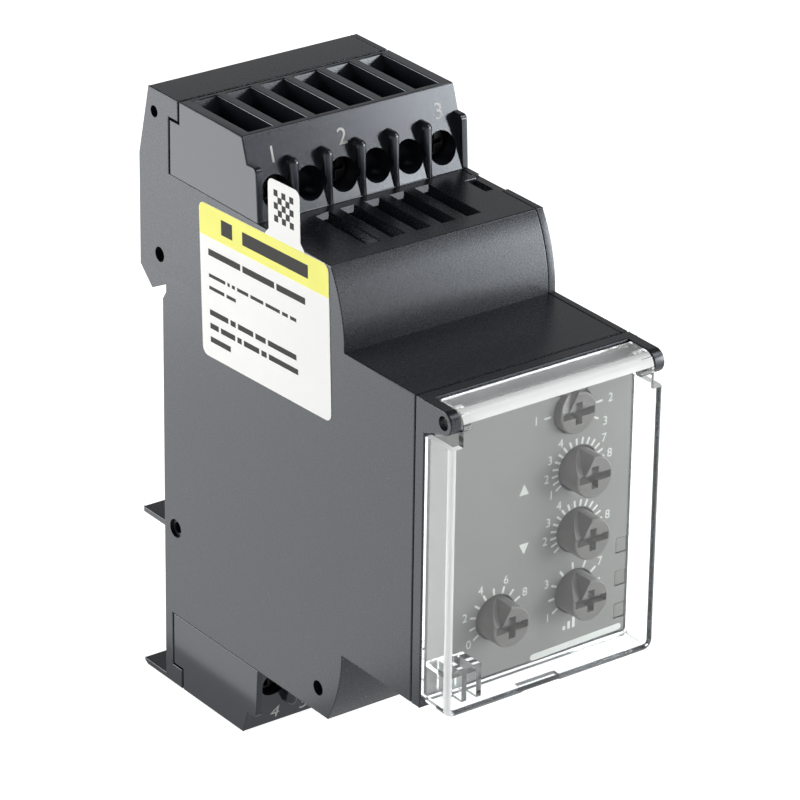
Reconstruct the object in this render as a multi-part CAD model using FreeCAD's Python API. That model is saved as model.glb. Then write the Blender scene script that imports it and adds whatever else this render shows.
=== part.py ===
import FreeCAD, Part
import math
import os

# A three-phase monitoring relay in a moulded case that snaps onto a 35 mm top-hat rail.
# X runs across the case, -Y is the front, Z is up. Lengths are in millimetres.
# Everything is drawn about the case's mid-height and the rail seat plane (y = 0). On export
# the pieces are lifted, so that the part's origin is the centre of the rail's front face.

# Top-hat rail that the case sits on
RAIL_WIDTH = 35.0
RAIL_SHEET = 1.0
RAIL_DROP = 1.7
RAIL_ROOM = 0.15

# Case outline, from the middle upwards
FRONT_HEIGHT = 45.0
SLOPE_RISE = 11.2
BLOCK_HEIGHT = 11.3
SLOPE_BULGE = 0.8

# Case outline, from the rail seat forwards
BLOCK_BACK = 1.85
BLOCK_TOP_DEPTH = 17.55
FACE_RUN = 3.75
DECK_LENGTH = 16.6
SLOPE_RUN = 3.25
NOSE_LENGTH = 15.55
BEZEL_DEPTH = 2.15
PANEL_RISE = 0.3
COVER_DEPTH = 5.8

# Back of the case: lip over the terminal block, sloped shoulder, rail hook, two tabs
LIP_REACH = 2.3
LIP_HEIGHT = 3.0
TOP_BACK = 3.1
SHOULDER_DROP = 10.5
HOOK_DEPTH = 5.5
HOOK_TIP_DEPTH = 2.6
HOOK_BITE = 0.8
HOOK_CHAMFER = 2.7
GROOVE_DEPTH = 0.8
GROOVE_MOUTH = 1.2
TAB_SHEET = 0.9
TAB_DEPTH = 5.35
TAB_BELOW_RAIL = 0.5
FOOT_CHAMFER = 0.8

# Walls and joints of the mouldings
WALL = 1.4
SIDE_PLATE = 1.2
SEAM = 0.3
FIT = 0.1
EDGE_ROUND = 0.2
SEAM_ROUND = 0.15
CUT_OVER = 1.0

# Terminal blocks
TERMINALS = 6
TERMINAL_PITCH = 5.5
END_CHEEK = 1.0
UPPER_CLAMPS = {0: "l1", 2: "l2", 5: "l3"}
LOWER_CLAMPS = {0: "12", 1: "11", 2: "14", 3: "22", 4: "21", 5: "24"}
SCREW_RISE = 3.4
FUNNEL_WIDTH = 4.0
FUNNEL_FRONT_LAND = 1.0
FUNNEL_BACK = 3.25
FUNNEL_DEPTH = 4.5
FUNNEL_DRAFT = 0.35
FUNNEL_BACK_DRAFT = 1.6
CHAMBER_WIDTH = 4.4
CHAMBER_WALL = 0.8
FIN_WIDTH = 1.8
FIN_FOOT_WIDTH = 0.8
FIN_TOP_DROP = 3.6
FIN_STAND = 1.4
FIN_ROUND = 0.75

# Clamps: screw, cage that rises along it, and fixed contact bar
SCREW_BORE = 4.6
HEAD_DIAMETER = 3.9
HEAD_LENGTH = 1.6
HEAD_SINK = 2.4
HEAD_SLOT = 0.7
HEAD_SLOT_DEPTH = 0.8
SHANK_DIAMETER = 2.4
RUNNING_FIT = 0.05
CAGE_HEIGHT = 5.2
CAGE_SIDE = 0.5
CAGE_FRONT = 1.5
CAGE_REAR = 1.0
CAGE_FIT = 0.2
CAGE_BACK_GAP = 0.4
WIRE_SLACK = 0.2
BAR_WIDTH = 2.4
BAR_SHEET = 1.0
BAR_GAP = 0.4
BAR_TAIL = 0.8

# Vents in the decks, and the side cover's snap window
VENTS = 5
VENT_PITCH = 4.15
VENT_WIDTH = 2.2
VENT_SLANT = 1.0
VENT_LENGTH = 11.0
VENT_FRONT_LAND = 3.25
VENT_LEAD = 0.7
SNAP_WIDTH = 2.2
SNAP_LENGTH = 4.5
SNAP_INSET = 2.0
SNAP_FRONT_LAND = 10.9
SNAP_SHEET = 1.0
SNAP_NOTCH_LENGTH = 6.7
SNAP_NOTCH_DEPTH = 0.4

# Assembly posts of the side cover, and how far each stands from the case's corner or edge nearest to it
POST_DIAMETER = 2.6
POST_BORE = 1.7
POST_BOSS_WALL = 0.8
POST_BOSS_LENGTH = 3.0
TOP_POST_INSET = 1.5
TOP_POST_DROP = 3.3
TOP_POST_HOLE = 1.7
HOOK_POST_INSET = 4.95
HOOK_POST_RISE = 5.1
SIGHT_HOLE = 2.2
SEAT_POST_DEPTH = 2.85
SEAT_POST_DROP = 0.7
FRONT_POST_INSET = 2.2
FRONT_POST_RISE = 3.9

# Front panel: dials in a column below the range dial, the delay dial beside the lowest, indicator windows
DIAL_COLUMN_INSET = 10.1
RANGE_COLUMN_INSET = 11.2
DELAY_COLUMN_INSET = 11.7
POT_TOP_LAND = 3.4
DIAL_LOW_LAND = 10.5
RANGE_SHIFT = 0.45
DIAL_ROWS = 3
KNOB_DIAMETER = 6.0
KNOB_STAND = 3.6
RANGE_KNOB_STAND = 1.2
KNOB_FIT = 0.3
KNOB_SHAFT = 3.0
KNOB_BACK_GAP = 0.2
CROSS_LONG = 5.2
CROSS_SHORT = 3.2
CROSS_SLOT = 1.1
CROSS_DEPTH = 1.4
POINTER_TURN = 59.0
POINTER_OFFSET = 1.65
POINTER_INNER = 0.8
POINTER_LAND = 0.3
KNOB_ROUND = 0.3
WINDOWS = 3
WINDOW_PITCH = 4.95
WINDOW_WIDTH = 1.6
WINDOW_HEIGHT = 2.0
WINDOW_INSET = 2.2
WINDOW_LOW_LAND = 5.2
WINDOW_SINK = 0.15
WINDOW_FLANGE = 0.5
PANEL_SHEET = 1.6
PANEL_EDGE = 1.3
PANEL_TOP_DROP = 3.0
PANEL_LOW_RISE = 2.0
SPIGOT_DEPTH = 3.0
SPIGOT_WALL = 1.2
EAR_SHEET = 1.6
EAR_REACH = 4.0
EAR_DROP = 1.7
EAR_ROOT = 4.7
HINGE_BORE = 2.0
EAR_TIP_SETBACK = 0.5
BEZEL_ROUND = 0.3

# Clear cover
CLEAR_SHEET = 1.0
CLEAR_ROUND = 0.9
CLEAR_CORNER = 1.6
CLEAR_BACK_GAP = 0.25
CLEAR_LOW_RISE = 0.7
CLEAR_TOP_ROUND = 2.0
CLEAR_TOP_REAR_GAP = 0.8
EAR_FIT = 0.3
HINGE_PIN_LENGTH = 0.8
KNUCKLE_WIDTH = 1.6
KNUCKLE_ROUND = 1.5
SEAL_BOX_WIDTH = 5.0
SEAL_BOX_TOP = 7.3
SEAL_BOX_HEIGHT = 4.8
SEAL_RIB = 0.8
SEAL_RIB_PITCH = 2.4
SEAL_RIB_GAP = 0.4
FINGER_WIDTH = 6.6
FINGER_X = -1.5
FINGER_DEPTH = 0.5
FINGER_LENGTH = 2.4

# Boards and what stands on them
BOARD_SHEET = 1.6
POT_GAP = 0.5
POT_DEPTH = 4.3
POT_BORE_DEPTH = 3.6
POST_SIZE = 2.5
FRONT_BOARD_EDGE = 1.2
TERMINAL_BOARD_DEPTH = 18.0
TERMINAL_BOARD_EDGE = 0.2
MAIN_BOARD_INSET = 4.1
MAIN_BOARD_BACK = 2.6
MAIN_BOARD_NECK = 1.2
LAMP_SIZE = 1.4
LAMP_DEPTH = 1.2
LAMP_INSET = 1.1
HEADER_HEIGHT = 14.0
HEADER_STAND = 5.0
HEADER_OVERLAP = 5.0
HEADER_GAP = 2.5
RELAY_LENGTH = 20.0
RELAY_WIDTH = 10.0
RELAY_STAND = 15.3
RELAY_BACK = 12.0
RELAY_DROP = 7.0
RELAY_PITCH = 11.5
FILM_WIDTH = 6.0
FILM_STAND = 12.0
FILM_BACK = 19.5
FILM_FRONT_GAP = 0.5
FILM_TOP_GAP = 2.6
FILM_PITCH = 7.5
CAN_DIAMETER = 10.0
CAN_LENGTH = 16.0
CAN_HEADER_GAP = 0.4
CAN_TOP_GAP = 2.4
VARISTORS = 3
VARISTOR_DIAMETER = 10.0
VARISTOR_SHEET = 4.0
VARISTOR_PITCH = 6.5
VARISTOR_BACK = 4.0
VARISTOR_TOP_GAP = 3.6

# Rail clip and its spring
CLIP_WIDTH = 14.0
CLIP_SHEET = 2.6
CLIP_GAP = 0.3
NOSE_HEIGHT = 1.6
CLIP_BELOW_RAIL = 0.3
SPRING_WINDOW_WIDTH = 8.6
SPRING_WINDOW_TOP = 5.0
SPRING_LENGTH = 14.8
SPRING_LEGS = 7
SPRING_WIRE = 0.45
SPRING_STRIP = 1.6
SPRING_SPAN = 5.0
PEG_HEIGHT = 1.4
PEG_WIDTH = 3.2
PULL_SLOT_WIDTH = 5.0
PULL_SLOT_HEIGHT = 1.0
PULL_SLOT_RISE = 1.2

# Side label, stuck on a little crooked
LABEL_WIDTH = 30.2
LABEL_HEIGHT = 22.4
LABEL_SHEET = 0.12
LABEL_CORNER = 1.2
LABEL_FRONT_LAND = 0.35
LABEL_TILT = 2.3
LABEL_TAB_WIDTH = 7.2
LABEL_TAB_RISE = 8.3
LABEL_TAB_CORNER = 1.1
LABEL_TAB_FROM_FRONT = 6.4
LABEL_TAB_FLARE = 1.0

# Levels and planes worked out from the sizes above
half_w = TERMINALS * TERMINAL_PITCH / 2 + END_CHEEK
plate_x = half_w - SIDE_PLATE
left_in_x = WALL - half_w
front_z = FRONT_HEIGHT / 2
deck_z = front_z + SLOPE_RISE
top_z = deck_z + BLOCK_HEIGHT
lip_z = top_z - LIP_HEIGHT
rail_top_z = RAIL_WIDTH / 2 - RAIL_DROP
rail_low_z = -RAIL_WIDTH / 2 - RAIL_DROP
block_back_y = -BLOCK_BACK
lip_y = block_back_y - LIP_REACH
top_front_y = block_back_y - BLOCK_TOP_DEPTH
face_foot_y = top_front_y - FACE_RUN
deck_front_y = face_foot_y - DECK_LENGTH
step_y = deck_front_y - SLOPE_RUN
seam_y = step_y - NOSE_LENGTH
bezel_y = seam_y - BEZEL_DEPTH
panel_y = bezel_y - PANEL_RISE
panel_back_y = panel_y + PANEL_SHEET
cover_y = bezel_y - COVER_DEPTH
screw_z = deck_z + SCREW_RISE
hinge_y = bezel_y - EAR_REACH
hinge_z = front_z - EAR_DROP
pot_front_y = panel_back_y + 2 * KNOB_BACK_GAP
front_board_y = pot_front_y + POT_DEPTH
board_x = left_in_x + MAIN_BOARD_INSET
parts_x = board_x + BOARD_SHEET
terminal_board_z = deck_z - WALL - FIT - BOARD_SHEET
main_board_front_y = front_board_y + BOARD_SHEET + HEADER_GAP
can_y = main_board_front_y + HEADER_OVERLAP + CAN_HEADER_GAP + CAN_DIAMETER / 2
film_front_y = can_y + CAN_DIAMETER / 2 + FILM_FRONT_GAP
tab_z = rail_low_z - TAB_BELOW_RAIL
funnel_back_y = block_back_y - FUNNEL_BACK
funnel_length = BLOCK_TOP_DEPTH - FUNNEL_BACK - FUNNEL_FRONT_LAND
head_seat_y = top_front_y - FACE_RUN * (top_z - screw_z) / BLOCK_HEIGHT + HEAD_SINK + HEAD_LENGTH
chamber_front_y = head_seat_y + CHAMBER_WALL
chamber_length = funnel_back_y - chamber_front_y
cage_walls = CAGE_FRONT + BAR_GAP + BAR_SHEET + CAGE_REAR
cage_travel = (chamber_length - cage_walls - CAGE_FIT - CAGE_BACK_GAP - WIRE_SLACK) / 2
cage_front_y = chamber_front_y + CAGE_FIT + cage_travel
bar_front_y = cage_front_y + CAGE_FRONT + BAR_GAP
bar_back_y = bar_front_y + BAR_SHEET
wire_room = cage_travel + WIRE_SLACK
# The bodies behind the dials fill the column: one and a half under the range dial's centre, then a row each
dial_room = FRONT_HEIGHT - POT_TOP_LAND - DIAL_LOW_LAND - 2 * RANGE_SHIFT - DIAL_ROWS * POT_GAP
pot_size = dial_room / (DIAL_ROWS + 0.5)
dial_pitch = pot_size + RANGE_SHIFT + POT_GAP
range_z = front_z - POT_TOP_LAND - pot_size / 2
low_dial_z = DIAL_LOW_LAND - front_z
dial_x = half_w - DIAL_COLUMN_INSET
RANGE_DIAL = (half_w - RANGE_COLUMN_INSET, range_z)
DIALS = {
    "over_voltage": (dial_x, low_dial_z + 2 * dial_pitch),
    "under_voltage": (dial_x, low_dial_z + dial_pitch),
    "asymmetry": (dial_x, low_dial_z),
    "delay": (DELAY_COLUMN_INSET - half_w, low_dial_z),
}
window_x = half_w - WINDOW_INSET
# Side view (y, z) of each post, and the hole that shows its end in the left wall
POSTS = (
    (TOP_BACK - TOP_POST_INSET, top_z - TOP_POST_DROP, TOP_POST_HOLE),
    (HOOK_DEPTH - HOOK_POST_INSET, rail_top_z + HOOK_POST_RISE, SIGHT_HOLE),
    (-SEAT_POST_DEPTH, rail_low_z - SEAT_POST_DROP, POST_DIAMETER + 2 * FIT),
    (deck_front_y + FRONT_POST_INSET, FRONT_POST_RISE - deck_z, SIGHT_HOLE),
)

Vec = FreeCAD.Vector
PLANES = {
    "x": lambda u, v, w: Vec(w, u, v),
    "y": lambda u, v, w: Vec(u, w, v),
    "z": lambda u, v, w: Vec(u, v, w),
}


# Shapes that the pieces are made from

def box(x0, x1, y0, y1, z0, z1):
    """Block between two corners, given in either order."""
    low = Vec(min(x0, x1), min(y0, y1), min(z0, z1))
    return Part.makeBox(abs(x1 - x0), abs(y1 - y0), abs(z1 - z0), low)


def prism(axis, path, start, end):
    """Outline pulled along an axis. A point is (u, v), and (um, vm, u, v) is an arc through (um, vm)."""
    place = PLANES[axis]
    corners = [place(item[-2], item[-1], start) for item in path]
    edges = []
    for index, item in enumerate(path):
        if len(item) == 4:
            middle = place(item[0], item[1], start)
            edges.append(Part.Arc(corners[index - 1], middle, corners[index]).toShape())
        else:
            edges.append(Part.makeLine(corners[index - 1], corners[index]))
    return Part.Face(Part.Wire(edges)).extrude(place(0, 0, end - start))


def rod(axis, centre, diameter, start, end):
    """Round bar along an axis between two stations, about a centre given in the other two."""
    place = PLANES[axis]
    low = min(start, end)
    return Part.makeCylinder(diameter / 2, abs(end - start), place(centre[0], centre[1], low), place(0, 0, 1))


def rectangle(centre, width, height):
    """Corner path of a rectangle about a centre."""
    u, v = centre
    return [(u - width / 2, v - height / 2), (u + width / 2, v - height / 2),
            (u + width / 2, v + height / 2), (u - width / 2, v + height / 2)]


def bulge(start, end, rise):
    """Arc to end that stands out from the chord by rise, on the right of the way there."""
    du = end[0] - start[0]
    dv = end[1] - start[1]
    length = math.hypot(du, dv)
    middle = ((start[0] + end[0]) / 2 + rise * dv / length, (start[1] + end[1]) / 2 - rise * du / length)
    return middle + end


def taper(axis, low_path, low, high_path, high):
    """Solid between two outlines with straight sides."""
    place = PLANES[axis]
    wires = []
    for path, level in ((low_path, low), (high_path, high)):
        corners = [place(u, v, level) for u, v in path]
        wires.append(Part.makePolygon(corners + corners[:1]))
    return Part.makeLoft(wires, True, True)


def fuse(shapes):
    """One solid from pieces that meet."""
    return shapes[0].multiFuse(shapes[1:]).removeSplitter()


def edges_where(shape, test):
    """Edges whose middle and box pass a test."""
    return [edge for edge in shape.Edges if test(edge.CenterOfMass, edge.BoundBox)]


def rounded_outline(shape, x, radius):
    """Solid with the straight edges of its flat side at x rounded off."""
    outline = edges_where(shape, lambda middle, b: abs(b.XMin - x) + abs(b.XMax - x) < FIT)
    return shape.makeFillet(radius, [edge for edge in outline if isinstance(edge.Curve, Part.Line)])


def turned_over(shape):
    """The same moulding below mid-height."""
    return shape.mirror(Vec(0, 0, 0), Vec(0, 0, 1))


def terminal_x(index):
    """Place of a terminal across the case."""
    return (index - (TERMINALS - 1) / 2) * TERMINAL_PITCH


def face_y(z):
    """Depth of the terminal block's sloped face at a height."""
    return top_front_y - FACE_RUN * (top_z - z) / BLOCK_HEIGHT


# Case

def case_path():
    """Side outline of the case, from the top of the back forwards, down the front and up the back."""
    groove_z = rail_top_z + RAIL_ROOM
    groove_slope = HOOK_BITE / (HOOK_TIP_DEPTH - RAIL_SHEET)
    roof_z = groove_z + groove_slope * (RAIL_SHEET + GROOVE_DEPTH)
    tip_z = groove_z - HOOK_BITE
    seat_z = tip_z - GROOVE_MOUTH / 2
    return [
        (TOP_BACK, top_z),
        (lip_y, top_z),
        (lip_y, lip_z),
        (block_back_y, lip_z),
        (block_back_y, deck_z),
        (deck_front_y, deck_z),
        bulge((deck_front_y, deck_z), (step_y, front_z), SLOPE_BULGE),
        (seam_y, front_z),
        (seam_y, -front_z),
        (step_y, -front_z),
        bulge((step_y, -front_z), (deck_front_y, -deck_z), SLOPE_BULGE),
        (block_back_y, -deck_z),
        (block_back_y, -lip_z),
        (lip_y, -lip_z),
        (lip_y, -top_z),
        (HOOK_DEPTH - FOOT_CHAMFER, -top_z),
        (HOOK_DEPTH, TAB_SHEET / 2 - top_z),
        (HOOK_DEPTH, TAB_SHEET - top_z),
        (0, TAB_SHEET - top_z),
        (0, tab_z - TAB_SHEET),
        (TAB_DEPTH, tab_z - TAB_SHEET),
        (TAB_DEPTH, tab_z),
        (0, tab_z),
        (0, seat_z),
        (-GROOVE_DEPTH, seat_z + GROOVE_MOUTH),
        (-GROOVE_DEPTH, roof_z),
        (HOOK_TIP_DEPTH, tip_z),
        (HOOK_DEPTH, tip_z + HOOK_CHAMFER),
        (HOOK_DEPTH, top_z - SHOULDER_DROP),
    ]


def cavity_path():
    """Side outline of the room inside the case, which also fills the hollow back above the hook."""
    inset = WALL * (1 - SLOPE_RUN / SLOPE_RISE)
    deck_in_z = deck_z - WALL
    front_in_z = front_z - WALL
    deck_in_y = deck_front_y + inset
    step_in_y = step_y + inset
    hook_in_z = rail_top_z + RAIL_ROOM + HOOK_CHAMFER + WALL
    return [
        (-WALL, hook_in_z),
        (HOOK_DEPTH - WALL, hook_in_z),
        (HOOK_DEPTH - WALL, top_z - SHOULDER_DROP),
        (TOP_BACK - WALL, top_z - WALL),
        (block_back_y + WALL, top_z - WALL),
        (block_back_y + WALL, deck_in_z),
        (deck_in_y, deck_in_z),
        bulge((deck_in_y, deck_in_z), (step_in_y, front_in_z), SLOPE_BULGE),
        (seam_y, front_in_z),
        (seam_y, -front_in_z),
        (step_in_y, -front_in_z),
        bulge((step_in_y, -front_in_z), (deck_in_y, -deck_in_z), SLOPE_BULGE),
        (-WALL, -deck_in_z),
    ]


def bar_slot(index, low, high):
    """Room for one contact bar through a wall or a board."""
    x = terminal_x(index)
    half = BAR_WIDTH / 2 + FIT
    return box(x - half, x + half, bar_front_y - FIT, bar_back_y + FIT, low, high)


def deck_openings(clamps):
    """Everything cut through the upper deck: vents, snap window and contact slots."""
    low = deck_z - WALL
    high = deck_z + WALL
    front = deck_front_y + VENT_FRONT_LAND
    rear = front + VENT_LENGTH
    cuts = []
    for index in range(VENTS):
        left = (index - (VENTS - 1) / 2) * VENT_PITCH - VENT_WIDTH / 2
        right = left + VENT_WIDTH
        path = [(left, low), (right - VENT_SLANT, low), (right, deck_z), (right, high), (left, high)]
        cuts.append(prism("y", path, front, rear))
        lead_path = [(rear, deck_z - VENT_LEAD), (rear, high),
                     (rear + VENT_LEAD, high), (rear + VENT_LEAD, deck_z)]
        cuts.append(prism("x", lead_path, left, right))
    snap_y = deck_front_y + SNAP_FRONT_LAND
    snap_x = half_w - SNAP_INSET
    cuts.append(box(snap_x - SNAP_WIDTH / 2, min(snap_x + SNAP_WIDTH / 2, plate_x),
                    snap_y - SNAP_LENGTH / 2, snap_y + SNAP_LENGTH / 2, low, high))
    low = terminal_board_z
    cuts.extend(bar_slot(index, low, high) for index in clamps)
    return cuts


def clip_slot(low, high):
    """Passage for the rail clip through a rear tab."""
    half = CLIP_WIDTH / 2 + CLIP_GAP
    return box(-half, half, 0, CLIP_SHEET + 2 * CLIP_GAP, low, high)


def make_shell():
    """Left wall, decks, nose, back, rail hook and tabs, open at the right and at the front."""
    case = prism("x", case_path(), -half_w, plate_x)
    body = rounded_outline(case, -half_w, EDGE_ROUND)
    body = body.cut(prism("x", cavity_path(), left_in_x, plate_x + WALL))
    cuts = deck_openings(UPPER_CLAMPS)
    cuts.extend(turned_over(cut) for cut in deck_openings(LOWER_CLAMPS))
    cuts.append(clip_slot(tab_z - 2 * TAB_SHEET, tab_z + TAB_SHEET))
    cuts.append(clip_slot(-top_z - TAB_SHEET, 2 * TAB_SHEET - top_z))
    added = []
    for y, z, hole in POSTS:
        boss = POST_DIAMETER + 2 * (FIT + POST_BOSS_WALL)
        added.append(rod("x", (y, z), boss, left_in_x - WALL / 2, left_in_x + POST_BOSS_LENGTH))
        cuts.append(rod("x", (y, z), POST_DIAMETER + 2 * FIT, left_in_x, plate_x + WALL))
        cuts.append(rod("x", (y, z), hole, -half_w - WALL, left_in_x + WALL))
    for y, z in standoffs():
        added.append(rod("x", (y, z), POST_SIZE, left_in_x - WALL / 2, board_x))
    peg_top = peg_z()
    added.append(box(-PEG_WIDTH / 2, PEG_WIDTH / 2, -WALL / 2, CLIP_SHEET - CLIP_GAP,
                     peg_top - PEG_HEIGHT, peg_top))
    bosses = [piece.common(case) for piece in added[:len(POSTS)]]
    return fuse([body] + bosses + added[len(POSTS):]).cut(Part.makeCompound(cuts))


def standoffs():
    """Places (y, z) of the bosses that the main board stands on."""
    back = -MAIN_BOARD_BACK - 2 * POST_SIZE
    front = deck_front_y + 2 * POST_SIZE
    high = terminal_board_z - 2 * POST_SIZE
    return [(back, high), (back, -high), (front, high), (front, -front_z)]


def make_side_cover():
    """Plate on the right, with posts that plug into the left wall and a snap hook on each deck."""
    middle_x = half_w - SIDE_PLATE / 2
    outer = rounded_outline(prism("x", case_path(), middle_x, half_w), half_w, EDGE_ROUND)
    inner = rounded_outline(prism("x", case_path(), plate_x, middle_x), plate_x, SEAM_ROUND)
    added = []
    bores = []
    for y, z, hole in POSTS:
        end = left_in_x + FIT
        if hole > POST_DIAMETER:
            end = -half_w + WALL / 3
        added.append(rod("x", (y, z), POST_DIAMETER, end, middle_x))
        bores.append(rod("x", (y, z), POST_BORE, end - WALL, end + POST_BOSS_LENGTH))
    snap_y = deck_front_y + SNAP_FRONT_LAND
    snap_half = SNAP_LENGTH / 2 - FIT
    deck_in_z = deck_z - WALL
    tip_x = half_w - SNAP_INSET - SNAP_WIDTH / 2 + FIT
    tongue_z = deck_in_z - FIT
    tongue_path = [(middle_x, tongue_z - SNAP_SHEET), (middle_x, tongue_z), (plate_x, tongue_z),
                   (plate_x - FIT, deck_z - WALL / 3), (tip_x, tongue_z), (tip_x, tongue_z - SNAP_SHEET)]
    tongue = prism("y", tongue_path, snap_y - snap_half, snap_y + snap_half)
    added.extend([tongue, turned_over(tongue)])
    notch_half = SNAP_NOTCH_LENGTH / 2
    notch = box(plate_x - FIT / 2, half_w + CUT_OVER, snap_y - notch_half, snap_y + notch_half,
                deck_z - SNAP_NOTCH_DEPTH, deck_z + CUT_OVER)
    bores.extend([notch, turned_over(notch)])
    return fuse([outer, inner] + added).cut(Part.makeCompound(bores))


# Terminal blocks and clamps

def fin_path():
    """Side outline of a fin: it steps out of the face at its rounded head and meets the face's foot."""
    head_z = top_z - FIN_TOP_DROP
    nose_y = face_y(head_z) - FIN_STAND
    corner = math.sqrt(0.5)
    middle = (nose_y - FIN_ROUND * corner, head_z - FIN_ROUND * (1 - corner))
    return [(face_y(head_z) + FIN_STAND, head_z), (nose_y, head_z),
            middle + (nose_y - FIN_ROUND, head_z - FIN_ROUND),
            (face_foot_y, deck_z), (face_foot_y + FIN_STAND, deck_z)]


def make_fin():
    """Rib between two screw holes: stands out at its rounded head and runs out to nothing at the deck."""
    head_z = top_z - FIN_TOP_DROP
    half = FIN_WIDTH / 2
    side = prism("x", fin_path(), -half, half)
    shoulder_z = head_z - half
    front = prism("y", [(-FIN_FOOT_WIDTH / 2, deck_z), (FIN_FOOT_WIDTH / 2, deck_z),
                        (half, shoulder_z), (0, head_z, -half, shoulder_z)],
                  top_front_y, face_foot_y - FIN_STAND)
    return side.common(front)


def make_cheek(side):
    """End wall of the sloped face, with the same outline as the fins."""
    return prism("x", fin_path(), side * half_w, side * (half_w - END_CHEEK))


def make_terminal_block():
    """Upper block: wire funnels on top, screw holes in the sloped face, open below for the clamps."""
    path = [(lip_y - SEAM, top_z), (top_front_y, top_z), (face_foot_y, deck_z), (block_back_y - SEAM, deck_z),
            (block_back_y - SEAM, lip_z - SEAM), (lip_y - SEAM, lip_z - SEAM)]
    block = fuse([prism("x", path, -half_w, half_w), make_cheek(-1), make_cheek(1)])
    for side in (-half_w, half_w):
        block = rounded_outline(block, side, EDGE_ROUND)
    solid = [block]
    fin = make_fin()
    for index in range(1, TERMINALS):
        solid.append(fin.translated(Vec((index - TERMINALS / 2) * TERMINAL_PITCH, 0, 0)))
    funnel_y = funnel_back_y - funnel_length / 2
    throat_y = funnel_y + (FUNNEL_DRAFT - FUNNEL_BACK_DRAFT) / 2
    throat_length = funnel_length - FUNNEL_DRAFT - FUNNEL_BACK_DRAFT
    floor_z = top_z - FUNNEL_DEPTH
    cuts = []
    for index in range(TERMINALS):
        x = terminal_x(index)
        mouth = rectangle((x, funnel_y), FUNNEL_WIDTH, funnel_length)
        throat = rectangle((x, throat_y), FUNNEL_WIDTH - 2 * FUNNEL_DRAFT, throat_length)
        cuts.append(taper("z", throat, floor_z, mouth, top_z))
        cuts.append(box(x - CHAMBER_WIDTH / 2, x + CHAMBER_WIDTH / 2, chamber_front_y, funnel_back_y,
                        deck_z - WALL, floor_z))
        cuts.append(rod("y", (x, screw_z), SCREW_BORE, face_foot_y - FIN_STAND, head_seat_y))
        cuts.append(rod("y", (x, screw_z), SHANK_DIAMETER + 2 * RUNNING_FIT,
                        head_seat_y - WALL, chamber_front_y + WALL))
    return fuse(solid).cut(Part.makeCompound(cuts))


def make_screw(index):
    """Cheese-head clamp screw with a cross slot, captive behind its shoulder."""
    x = terminal_x(index)
    seat = head_seat_y - RUNNING_FIT
    crown = seat - HEAD_LENGTH
    tip = bar_front_y - BAR_GAP
    head = rod("y", (x, screw_z), HEAD_DIAMETER, crown, seat)
    shank = rod("y", (x, screw_z), SHANK_DIAMETER, seat - HEAD_LENGTH / 2, tip)
    half = HEAD_SLOT / 2
    long = HEAD_DIAMETER / 2 - HEAD_SLOT / 2
    floor = crown + HEAD_SLOT_DEPTH
    slots = [box(x - half, x + half, crown - CUT_OVER, floor, screw_z - long, screw_z + long),
             box(x - long, x + long, crown - CUT_OVER, floor, screw_z - half, screw_z + half)]
    return fuse([head, shank]).cut(fuse(slots))


def make_cage(index):
    """Steel box clamp, open for the wire from above, threaded on the screw at its front."""
    x = terminal_x(index)
    half = CHAMBER_WIDTH / 2 - CAGE_FIT
    room_front = cage_front_y + CAGE_FRONT
    room_back = bar_back_y + wire_room
    low = screw_z - CAGE_HEIGHT / 2
    high = screw_z + CAGE_HEIGHT / 2
    outside = box(x - half, x + half, cage_front_y, room_back + CAGE_REAR, low, high)
    upright = edges_where(outside, lambda middle, b: b.ZLength > CAGE_HEIGHT / 2)
    outside = outside.makeFillet(CAGE_SIDE, upright)
    inside = box(x - half + CAGE_SIDE, x + half - CAGE_SIDE, room_front, room_back,
                 low - CUT_OVER, high + CUT_OVER)
    thread = rod("y", (x, screw_z), SHANK_DIAMETER + 2 * RUNNING_FIT,
                 cage_front_y - CUT_OVER, room_front + CUT_OVER)
    return outside.cut(inside).cut(thread)


def make_contacts(clamps):
    """Flat bars that run from inside the cages through the deck into the terminal board."""
    bars = []
    for index in clamps:
        x = terminal_x(index)
        bars.append(box(x - BAR_WIDTH / 2, x + BAR_WIDTH / 2, bar_front_y, bar_back_y,
                        terminal_board_z - BAR_TAIL, screw_z + CAGE_HEIGHT / 2))
    return Part.makeCompound(bars)


def make_terminal_board(clamps):
    """Small board under the deck that the contact bars are soldered into."""
    front = block_back_y - LIP_REACH - TERMINAL_BOARD_DEPTH
    board = box(left_in_x + TERMINAL_BOARD_EDGE, plate_x - SNAP_WIDTH, lip_y, front,
                terminal_board_z, terminal_board_z + BOARD_SHEET)
    high = terminal_board_z + BOARD_SHEET + CUT_OVER
    slots = [bar_slot(index, terminal_board_z - CUT_OVER, high) for index in clamps]
    return board.cut(Part.makeCompound(slots))


# Front

def dial_holes():
    """Round holes in the panel for the knobs."""
    places = list(DIALS.values()) + [RANGE_DIAL]
    width = KNOB_DIAMETER + 2 * KNOB_FIT
    return [rod("y", place, width, panel_y - CUT_OVER, panel_back_y + CUT_OVER) for place in places]


def window_z(index):
    """Height of an indicator window."""
    return WINDOW_LOW_LAND - front_z + (WINDOWS - 1 - index) * WINDOW_PITCH


def seal_slot_path():
    """Outline (x, z) of the slot in the panel that the cover's sealing tongue enters."""
    x = -half_w + CLEAR_SHEET + SEAL_BOX_WIDTH - SEAL_RIB / 2
    z = -front_z + SEAL_BOX_TOP - SEAL_BOX_HEIGHT / 2
    return rectangle((x, z), SEAL_RIB + 2 * KNOB_FIT, SEAL_BOX_HEIGHT / 2 + 2 * KNOB_FIT)


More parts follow.
